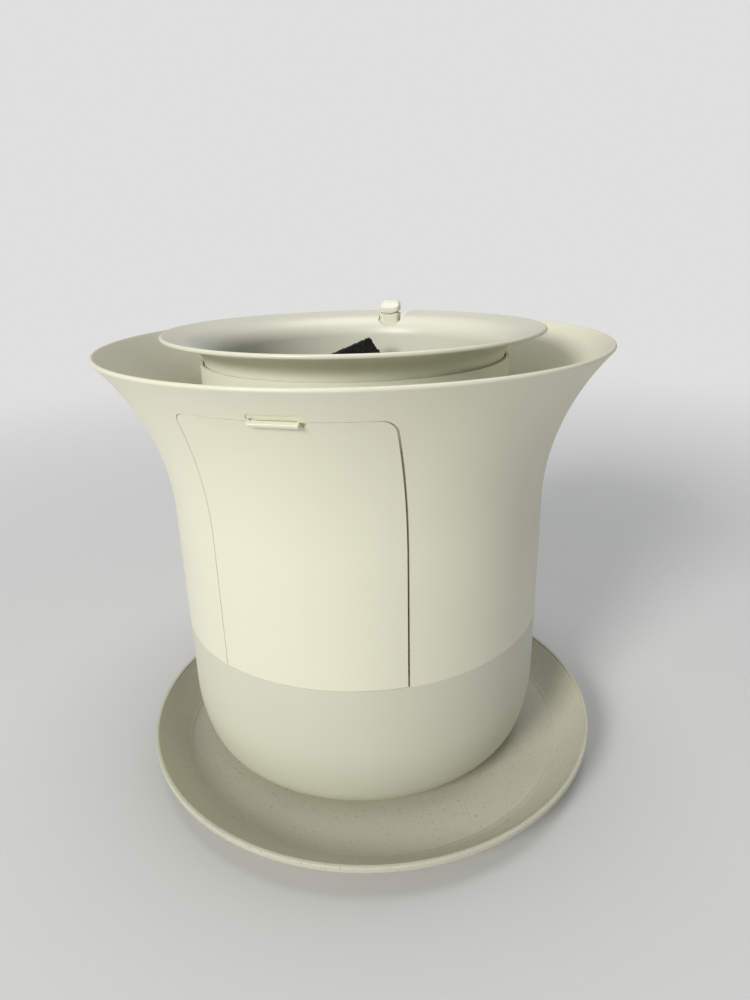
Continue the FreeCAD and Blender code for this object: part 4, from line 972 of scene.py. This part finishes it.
def perforated_tile(pitch, hole, corner, thick):
    """One square of sheet with a round-cornered square hole, closed all round."""
    inner, outer = [], []
    half, reach = pitch / 2, hole / 2 - corner
    for turn in range(4):
        for step, edge in enumerate(((half, reach), (half, half), (reach, half))):
            angle = math.radians(45 * step)
            spot = Vector((reach + corner * math.cos(angle), reach + corner * math.sin(angle), 0))
            spin = Matrix.Rotation(math.pi / 2 * turn, 3, "Z")
            inner.append(spin @ spot)
            outer.append(spin @ Vector((*edge, 0)))
    lift = Vector((0, 0, thick))
    loops = [[spot + lift for spot in inner], [spot + lift for spot in outer], outer, inner,
             [spot + lift for spot in inner]]
    return outward(grid_mesh("tile", loops, closed=True))


def tile_tree():
    """A field of tiles in columns and rows."""
    tree, given = new_tree("field_of_tiles", Tile="Object", Columns="Int", Rows="Int", Width="Float",
                           Length="Float", Shift="Vector", Finish="Material")
    field = node_at(tree, "GeometryNodeMeshGrid", -600, 200,
                    {"Size X": given["Width"], "Size Y": given["Length"], "Vertices X": given["Columns"],
                     "Vertices Y": given["Rows"]})
    source = node_at(tree, "GeometryNodeObjectInfo", -600, -300, {"Object": given["Tile"]})
    copies = node_at(tree, "GeometryNodeInstanceOnPoints", -300, 200,
                     {"Points": field.outputs["Mesh"], "Instance": source.outputs["Geometry"]})
    moved = node_at(tree, "GeometryNodeTransform", 0, 200,
                    {"Geometry": copies.outputs["Instances"], "Translation": given["Shift"]})
    return realised(tree, given, moved.outputs["Geometry"])


rim_half_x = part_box("tray_rim_1")[1].x
rim_half_y = (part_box("tray_rim_1")[1].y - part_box("tray_rim_1")[0].y) / 2
rim_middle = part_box("tray_rim_1")[0].y + rim_half_y
rim_corner, least_corner = 6.5, 1.5
# (inset, height) pairs in millimetres round a tray rim's section: a flange, a wall and a rolled top edge.
rim_section = ((0.5, 0), (5.2, 0), (5.2, 1.2), (1.2, 1.2), (1.2, 6.5), (1.05, 6.85), (0.6, 7), (0.15, 6.85),
               (0, 6.5), (0, 0.5), (0.15, 0.15), (0.5, 0))
pitch, hole, sheet_thick = 8 * MM, 6 * MM, 0.7 * MM
columns, tile_rows = 9, 15
tile = perforated_tile(pitch, hole, 0.7 * MM, sheet_thick)
field_of_tiles = tile_tree()
field_half_x, field_middle = columns / 2 * pitch, -2 * MM
field_front, field_back = field_middle - tile_rows / 2 * pitch, field_middle + tile_rows / 2 * pitch
for number in range(1, 5):
    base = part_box(f"tray_rim_{number}")[0].z
    rows = [ring(rim_half_x - inset * MM, rim_half_y - inset * MM, max(rim_corner - inset, least_corner) * MM,
                 base + height * MM, rim_middle) for inset, height in rim_section]
    rim = outward(grid_mesh(f"tray_rim_pressing_{number}", rows, closed=True))
    finish(weighted(rim), stainless, "tray_rack", "stainless", f"tray_rim_{number}")
    low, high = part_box(f"tray_sheet_{number}")
    tiles = grown("tiles", field_of_tiles, Tile=tile, Columns=columns, Rows=tile_rows,
                  Width=(columns - 1) * pitch, Length=(tile_rows - 1) * pitch,
                  Shift=(0, field_middle, low.z), Finish=stainless)
    border = [block("border", low, (high.x, field_front, high.z), 0.15 * MM, 1),
              block("border", (low.x, field_back, low.z), high, 0.15 * MM, 1)]
    for side in (-1, 1):
        left, right = sorted((side * field_half_x, side * high.x))
        border.append(block("border", (left, field_front - 0.3 * MM, low.z),
                            (right, field_back + 0.3 * MM, high.z), 0))
    sheet = joined(f"tray_sheet_perforated_{number}", [tiles, *border])
    sheet.data.shade_flat()
    finish(sheet, stainless, "tray_rack", "stainless", f"tray_sheet_{number}")
dropped(tile)

# ---------------------------------------------------------------- front door
# The cream front of the tray rack, cut from the same wall as the pot with an even gap round it. A small
# finger lip is moulded on its top edge, under the recess in the pot.

door_gap_top = 0.25 * MM
door_shift = -0.35 * MM
lip_half = 12.15 * MM
lip_band = 2.3 * MM
lip_reach = 2.2 * MM
door_low, door_high = door_box[0].z, opening_top - door_gap_top
door_half = door_box[1].x
door_rows = []
for height, half in opening_rows(door_low, door_high, door_half, opening_corner):
    away = math.asin(half / wall_radius(height))
    door_rows.append(ring_points(wall_radius(height), height, FRONT - away, FRONT + away, DOOR_COLUMNS))
door = thickened(outward(grid_mesh("door_sheet", door_rows)), shell_wall)
# The notch beside the lip and the thinned edge over it: width, band, depth, height and shift in millimetres.
for width, band, depth, height, across in ((2.9, 2.9, 2.1, -1.7, 14), (25.2, 1.6, 5, -0.2, 1.7)):
    cut_outline = pill(width * MM, band * MM, min(band / 2.1, 1.4) * MM)
    carved(door, extruded("cut", cut_outline, cut_front, depth * MM,
                          on_flare(opening_top + height * MM, across * MM)))
round_edges(door, 0.55 * MM, 3)
lip = block("finger_lip", (-lip_half, -lip_reach, -lip_band / 2), (lip_half, 0.6 * MM, lip_band / 2),
            0.7 * MM, 5, on_flare(opening_top - 0.75 * MM, 0.95 * MM))
door = weighted(joined("front_door_panel", [door, lip]))
door.data.transform(Matrix.Translation((door_shift, 0, 0)))
finish(door, pot_cream, "tray_rack", "pot_plastic", "front_door")
finish(rounded_copy("door_spacers", 0.2 * MM), pot_cream, "tray_rack", "pot_plastic", "door_spacers")

# ---------------------------------------------------------------- collar
# The lift-off collar: a smooth pale trumpet on a short neck that plugs into the chamber. Its brim has a
# rounded notch at the back for the switch post, and a ledge inside the neck carries the filter's grille.

collar_wall = 2 * MM
rim_wall = 2.5 * MM
ledge_reach, ledge_rise = 5.3 * MM, 2 * MM
neck_outer = chamber_radius - chamber_wall - 0.7 * MM
neck_inner = neck_outer - collar_wall
turn_height = saucer_floor + 252.3 * MM
middle_slope, rim_slope = math.radians(40), math.radians(14)
turn_radius, sweep_radius, brim = 10 * MM, 18.5 * MM, 11.8 * MM
FACE_STEPS = 26


def share_between(value, low, high):
    """How far a value has come from one limit to another, from 0 to 1."""
    return min(max((value - low) / (high - low), 0), 1)


def upward(slope):
    """The upper side of a wall that leans at a slope, as (radius, height) steps."""
    return Vector((-math.sin(slope), math.cos(slope)))


def under_face(steps=60):
    """The collar's under face from the neck to the brim, as pairs of a place and the slope there."""
    centre = Vector((neck_outer + turn_radius, turn_height))
    places = []
    for step in range(steps):
        slope = math.pi / 2 + (middle_slope - math.pi / 2) * step / steps
        places.append((centre + upward(slope) * turn_radius, slope))
    centre = centre + upward(middle_slope) * (turn_radius - sweep_radius)
    for step in range(steps):
        slope = middle_slope + (rim_slope - middle_slope) * step / steps
        places.append((centre + upward(slope) * sweep_radius, slope))
    start = centre + upward(rim_slope) * sweep_radius
    along = Vector((math.cos(rim_slope), math.sin(rim_slope)))
    for step in range(steps + 1):
        places.append((start + along * brim * step / steps, rim_slope))
    return places


face = under_face()
face_points = [face[round((len(face) - 1) * step / FACE_STEPS)] for step in range(FACE_STEPS + 1)]
collar_outline = [(neck_inner - ledge_reach, seat_top), (neck_outer - 0.4 * MM, seat_top),
                  (neck_outer, seat_top + 0.4 * MM), (neck_outer, turn_height - 8 * MM),
                  (neck_outer, turn_height - 0.2 * MM)]
collar_outline += [tuple(spot) for spot, _ in face_points]
brim_end, brim_slope = face_points[-1]
brim_middle = brim_end + upward(brim_slope) * rim_wall / 2
brim_lean = math.degrees(brim_slope)
collar_outline += arc(brim_middle, rim_wall / 2, brim_lean - 75, brim_lean + 75, 9)
upper_face = [tuple(spot + upward(slope) * (collar_wall + (rim_wall - collar_wall) * step / FACE_STEPS))
              for step, (spot, slope) in enumerate(face_points)]
collar_outline += reversed(upper_face)
collar_outline += [(neck_inner, turn_height - 0.2 * MM), (neck_inner, turn_height - 12 * MM),
                   (neck_inner, seat_top + ledge_rise + 0.3 * MM),
                   (neck_inner - 0.3 * MM, seat_top + ledge_rise),
                   (neck_inner - ledge_reach, seat_top + ledge_rise), (neck_inner - ledge_reach, seat_top)]
collar = outward(lathe("collar_trumpet", collar_outline, steps=256))

# The notch in plan, in millimetres: a straight left side, a rounded base and a right side that opens wide.
notch_curve, notch_half, notch_base, notch_shift = 12.5, 8.1, 91.6, 0.8
notch_turn = math.asin(notch_half / notch_curve)
notch_plan = []
for step in range(17):
    turn = notch_turn * (step / 8 - 1)
    notch_plan.append((notch_shift + notch_curve * math.sin(turn),
                       notch_base + notch_curve * (math.cos(notch_turn) - math.cos(turn))))
notch_plan += [(10.2, 97.5), (11.4, 102.5), (12.9, 106.6), (14.6, 109.2), (16.6, 110.9), (18.8, 111.8),
               (21.5, 116), (-9.2, 116), (-8.2, 112.4), (-7.5, 111), (-7.2, 109)]
upright = Matrix.Rotation(-math.pi / 2, 4, "X")
notch_low = saucer_floor + 252.5 * MM
carved(collar, extruded("notch", [(x * MM, y * MM) for x, y in notch_plan], -300 * MM, -notch_low, upright))
round_edges(collar, 0.35 * MM, 2, lambda middle: middle.y > 85 * MM and abs(middle.x) < 19 * MM
            and middle.z > saucer_floor + 252 * MM)
# The brim lies a little lower at the back, where the notch weakens it, than at the front.
bend_start, bend_end, sink_start, sink_end = 95 * MM, 119 * MM, -22 * MM, 88 * MM
front_rise, back_drop = 0.4 * MM, 2.3 * MM
for vert in collar.data.vertices:
    out = share_between(vert.co.xy.length, bend_start, bend_end)
    backward = share_between(vert.co.y, sink_start, sink_end)
    vert.co.z += out * (front_rise - back_drop * backward)
finish(weighted(collar), collar_pale, "collar", "collar_plastic", "collar")
finish(rounded_copy("filter_grille"), collar_pale, "collar", "collar_plastic", "filter_grille")

# ---------------------------------------------------------------- carbon filter
# A pad of coarse black carbon foam that lies loose on the grille in the collar's neck. A wedge of the same
# foam stands up from it as the tab that it is pulled out by.


def foam_material(name, scale):
    """Black open-cell foam: paler, slightly shiny strands in the foam's own dark grey, with painted shade
    darkening the middles of the open cells between them.
    """
    material, tree, shader, place = blank_material(name)
    cells = node_at(tree, "ShaderNodeTexVoronoi", -700, 0, {"Vector": place, "Scale": scale},
                    feature="DISTANCE_TO_EDGE").outputs["Distance"]
    # The colour darkens towards each cell's middle, as painted shade inside the open cells, over the strands'
    # own dark grey.
    strands_and_cell_shade = ramp(tree, cells, -450, 0,
                   [(0.0, (0.028, 0.028, 0.026)), (0.12, (0.008, 0.008, 0.008)),
                    (0.4, (0.002, 0.002, 0.002))])
    feed(tree, shader, {"Base Color": strands_and_cell_shade, "Roughness": 0.75, "Specular IOR Level": 0.25})
    bumped(tree, shader, cells, 0.9, 0.6 * MM)
    return material


def roughened(piece, voxel, reach, size, seed):
    """Remesh a piece finely and push its surface in and out by noise, as torn open cells do."""
    modifier = piece.modifiers.new("cells", "REMESH")
    modifier.mode = "VOXEL"
    modifier.voxel_size = voxel
    applied(piece)
    offset = Vector((seed, -seed, 2 * seed))
    shape = shape_of(piece.data)
    shape.normal_update()
    pushes = [mathutils.noise.noise(vert.co / size + offset) for vert in shape.verts]
    for vert, push in zip(shape.verts, pushes):
        vert.co += vert.normal * reach * push
    reshaped(piece, shape)
    piece.data.shade_smooth()
    return piece


foam_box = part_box("carbon_filter")
foam_radius = neck_inner - 0.9 * MM
foam_low = foam_box[0].z + 0.1 * MM
foam_top = foam_low + 7.3 * MM
foam_round = 1.2 * MM
tab_front, tab_back = 55.6 * MM, 61.4 * MM
tab_turn = math.radians(15.45)
tab_outline = [(x * MM, foam_top - 2 * MM + z * MM) for x, z in
               ((-28.5, 0), (23.0, 0), (22.6, 4.6), (18.5, 9.0), (14.6, 13.5), (12.2, 17.2), (11.0, 20.0),
                (9.8, 20.6), (3.0, 17.8), (-6.0, 14.0), (-15.0, 10.6), (-24.0, 7.0), (-28.5, 5.2))]
pad_rim = arc((foam_radius - foam_round, foam_low + foam_round), foam_round, -90, 0, 3)
pad_rim += arc((foam_radius - foam_round, foam_top - foam_round), foam_round, 0, 90, 3)
pad = outward(lathe("pad", [(0, foam_low), *pad_rim, (0, foam_top)], steps=96))
tab = extruded("tab", tab_outline, tab_front, tab_back, Matrix.Rotation(tab_turn, 4, "Z"))
tab = roughened(tab, 0.55 * MM, 0.9 * MM, 1.1 * MM, 3.0)
foam = joined("carbon_foam_pad", [pad, tab])
finish(foam, foam_material("carbon_foam", 900.0), "filter", "carbon_foam", "carbon_filter")

# ---------------------------------------------------------------- switch post and button
# A slim cream post behind the chamber stands up through the collar's notch. A rounded button floats on its
# top: it slopes towards the front, and its lower edge dips in the middle over a matching hollow.

post_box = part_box("switch_post")
button_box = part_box("power_button")
button_cream = moulded("button_cream", linear(236, 234, 214), roughness=0.34, mottle=0.015, grain=0.05)
post_half = 7.1 * MM
post_shift = Matrix.Translation((0.4 * MM, 0, 0))
post_half_depth = 5 * MM
post_middle = 98.5 * MM
post_top = saucer_floor + 267.35 * MM
button_under = saucer_floor + 268.7 * MM
post_corner = 3 * MM
post_edge, cap_edge = 0.3 * MM, 0.25 * MM
front_dip = 1.7 * MM


def densified(corners):
    """The points of a rounded rectangle, with more of them along its straight sides."""
    spots = []
    for index, spot in enumerate(corners):
        spots.append(spot)
        if index % 9 == 8:
            after = Vector(corners[(index + 1) % len(corners)])
            spots += [tuple(Vector(spot).lerp(after, step / 6)) for step in range(1, 6)]
    return spots


def post_ring(inset, height):
    """The post's rounded section at a height, moved in by an inset."""
    corner = max(post_corner - inset, 0.2 * MM)
    return densified(ring(post_half - inset, post_half_depth - inset, corner, height, post_middle))


def dipped(piece, low, high, dip):
    """Lower what lies between two heights at the front by a dip that is deepest in the middle."""
    for vert in piece.data.vertices:
        share = share_between(vert.co.z, low, high)
        near = share_between(vert.co.y, post_middle, post_middle - post_half_depth)
        across = max(1 - (vert.co.x / (0.86 * post_half)) ** 2, 0)
        vert.co.z -= dip * share * near * across
    return piece


post_rows = [post_ring(0, post_box[0].z)]
post_rows += [post_ring(0, post_top - drop * MM) for drop in (40, 12, 6, 3)]
for turn in (0, 30, 60, 90):
    angle = math.radians(turn)
    height = post_top - post_edge * (1 - math.sin(angle))
    post_rows.append(post_ring(post_edge * (1 - math.cos(angle)), height))
# The post's top is hollow: (inset, drop) pairs in millimetres down its inside.
for inset, drop in ((1.3, 0), (1.6, 0.3), (1.6, 6), (1.6, 18)):
    post_rows.append(post_ring(inset * MM, post_top - drop * MM))
post = dipped(closed_stack("switch_post_shell", post_rows), post_top - 6 * MM, post_top - 1 * MM, front_dip)
bracket_half, bracket_low, bracket_high = 5 * MM, saucer_floor + 200 * MM, saucer_floor + 206 * MM
bracket = block("bracket", (-bracket_half, 91.3 * MM, bracket_low), (bracket_half, 94 * MM, bracket_high),
                0.4 * MM, 2)
post = weighted(joined("switch_post_shell", [post, bracket]))
post.data.transform(post_shift)
finish(post, button_cream, "housing", "button_plastic", "switch_post")

cap_round = 3.2 * MM
cap_top = button_box[1].z
cap_slope = 4.2 * MM
neck_low = button_under - 4.2 * MM
neck_inset = 1.8 * MM
cap_rows = [post_ring(neck_inset + 0.3 * MM, neck_low), post_ring(neck_inset, neck_low + 0.3 * MM),
            post_ring(neck_inset, button_under - 1.5 * MM), post_ring(neck_inset, button_under),
            post_ring(neck_inset / 2, button_under)]
for turn in (0, 45, 90):
    angle = math.radians(turn)
    height = button_under + cap_edge * (1 - math.cos(angle))
    cap_rows.append(post_ring(cap_edge * (1 - math.sin(angle)), height))
cap_rows += [post_ring(0, button_under + height * MM) for height in (1.3, 2.6)]
for turn in range(0, 91, 10):
    angle = math.radians(turn)
    height = cap_top - cap_round * (1 - math.sin(angle))
    cap_rows.append(post_ring(cap_round * (1 - math.cos(angle)), height))
cap_rows.append(densified(ring(2.6 * MM, 1.2 * MM, 0.3 * MM, cap_top + 0.05 * MM, post_middle)))
cap = closed_stack("power_button_cap", cap_rows)
slope_low, slope_back = button_under + 2 * MM, 3.5 * MM
for vert in cap.data.vertices:
    rise = share_between(vert.co.z, slope_low, cap_top)
    front = share_between(vert.co.y, post_middle + slope_back, post_middle - post_half_depth)
    vert.co.z -= cap_slope * rise * front ** 1.4
dipped(cap, button_under + 4 * MM, button_under, front_dip)
stem_radius, stem_collar = 1.4 * MM, 2.6 * MM
stem_step, stem_top = post_top - 6 * MM, neck_low + 0.5 * MM
stem = outward(lathe("stem", [(0, button_box[0].z), (stem_radius, button_box[0].z), (stem_radius, stem_step),
                              (stem_collar, stem_step), (stem_collar, stem_top), (0, stem_top)],
                     (0, post_middle), 32))
cap = weighted(joined("power_button_cap", [cap, stem]))
cap.data.transform(post_shift)
finish(cap, button_cream, "power_button", "button_plastic", "power_button")
finish(rounded_copy("contact_switch", 0.25 * MM), epoxy, "housing", "component_black", "contact_switch")

# ---------------------------------------------------------------- stage, light and camera
# A pale table top under the saucer and a seamless backdrop behind it. One large soft lamp stands in front
# and to the left, a weaker one hangs overhead, and the camera looks slightly down from the front.

BACKDROP = (0.74, 0.74, 0.735, 1)
floor_mesh = bpy.data.meshes.new("floor")
reach = 12.0
fade_start, fade_end = 0.35, 1.5
floor_mesh.from_pydata([(-reach, -reach, 0), (reach, -reach, 0), (reach, reach, 0), (-reach, reach, 0)], [],
                       [(0, 1, 2, 3)])
floor = placed("floor", floor_mesh)
floor_white, ground, table, floor_place = blank_material("floor_white")
feed(ground, table, {"Base Color": (0.66, 0.66, 0.65, 1), "Roughness": 0.9})
# Far from the part the floor fades to the backdrop's tone, for the camera only.
away = node_at(ground, "ShaderNodeVectorMath", -700, -200, {0: floor_place}, operation="LENGTH")
fade = node_at(ground, "ShaderNodeMapRange", -500, -200,
               {"Value": away.outputs["Value"], "From Min": fade_start, "From Max": fade_end},
               interpolation_type="SMOOTHSTEP")
seen_by = node_at(ground, "ShaderNodeLightPath", -500, -500).outputs["Is Camera Ray"]
share = reckoned(ground, -300, -200, "MULTIPLY", fade.outputs["Result"], seen_by)
pale = node_at(ground, "ShaderNodeEmission", -300, -500, {"Color": BACKDROP})
blend = node_at(ground, "ShaderNodeMixShader", 300, 0,
                {"Fac": share, 1: table.outputs["BSDF"], 2: pale.outputs["Emission"]})
feed(ground, ground.nodes["Material Output"], {"Surface": blend.outputs["Shader"]})
floor_mesh.materials.append(floor_white)

world = bpy.data.worlds.new("studio")
bpy.context.scene.world = world
world.use_nodes = True
sky = world.node_tree
background = sky.nodes["Background"]
feed(sky, background, {"Color": (0.93, 0.95, 1.0, 1), "Strength": 0.28})
seen = node_at(sky, "ShaderNodeBackground", 0, -200, {"Color": BACKDROP, "Strength": 1.0})
paths = node_at(sky, "ShaderNodeLightPath", -300, 300)
sky_mix = node_at(sky, "ShaderNodeMixShader", 250, 0,
                  {"Fac": paths.outputs["Is Camera Ray"], 1: background.outputs["Background"],
                   2: seen.outputs["Background"]})
feed(sky, sky.nodes["World Output"], {"Surface": sky_mix.outputs["Shader"]})


def lamp(name, place, target, size, power, colour=(1, 1, 1)):
    """A round area light that faces a target."""
    light = bpy.data.lights.new(name, "AREA")
    light.shape = "DISK"
    light.size = size
    light.energy = power
    light.color = colour
    holder = bpy.data.objects.new(name, light)
    holder.location = place
    holder.rotation_euler = (Vector(target) - Vector(place)).to_track_quat("-Z", "Y").to_euler()
    bpy.context.collection.objects.link(holder)


middle = Vector((0, 0, 0.13))
lamp("window_light", (-1.87, -4.52, 2.41), middle, 1.8, 212.0, (1.0, 1.0, 0.97))
lamp("ceiling_light", (0.2, 0.4, 4.1), middle, 3.0, 63.0)

camera_data = bpy.data.cameras.new("camera")
camera = bpy.data.objects.new("camera", camera_data)
bpy.context.collection.objects.link(camera)
view_side = math.radians(15.45)
camera_distance = 423.07 * MM
camera_height = saucer_floor + 316.3 * MM
camera_pitch = math.radians(20.55)
camera_swing = math.radians(1.343)
camera_roll = math.radians(-1.39)
camera_data.lens = 24.9
camera_data.sensor_width = 36
camera_data.clip_start = 0.01
forward = Vector((math.sin(camera_swing) * math.cos(camera_pitch),
                  math.cos(camera_swing) * math.cos(camera_pitch), -math.sin(camera_pitch)))
level_right = Vector((math.cos(camera_swing), -math.sin(camera_swing), 0))
level_up = level_right.cross(forward)
right = level_right * math.cos(camera_roll) + level_up * math.sin(camera_roll)
up = level_up * math.cos(camera_roll) - level_right * math.sin(camera_roll)
turned = Matrix((right, up, -forward)).transposed().to_4x4()
spot = Matrix.Translation((0, -camera_distance, camera_height))
camera.matrix_world = Matrix.Rotation(view_side, 4, "Z") @ spot @ turned
bpy.context.scene.camera = camera

bpy.context.scene.view_settings.view_transform = "Standard"
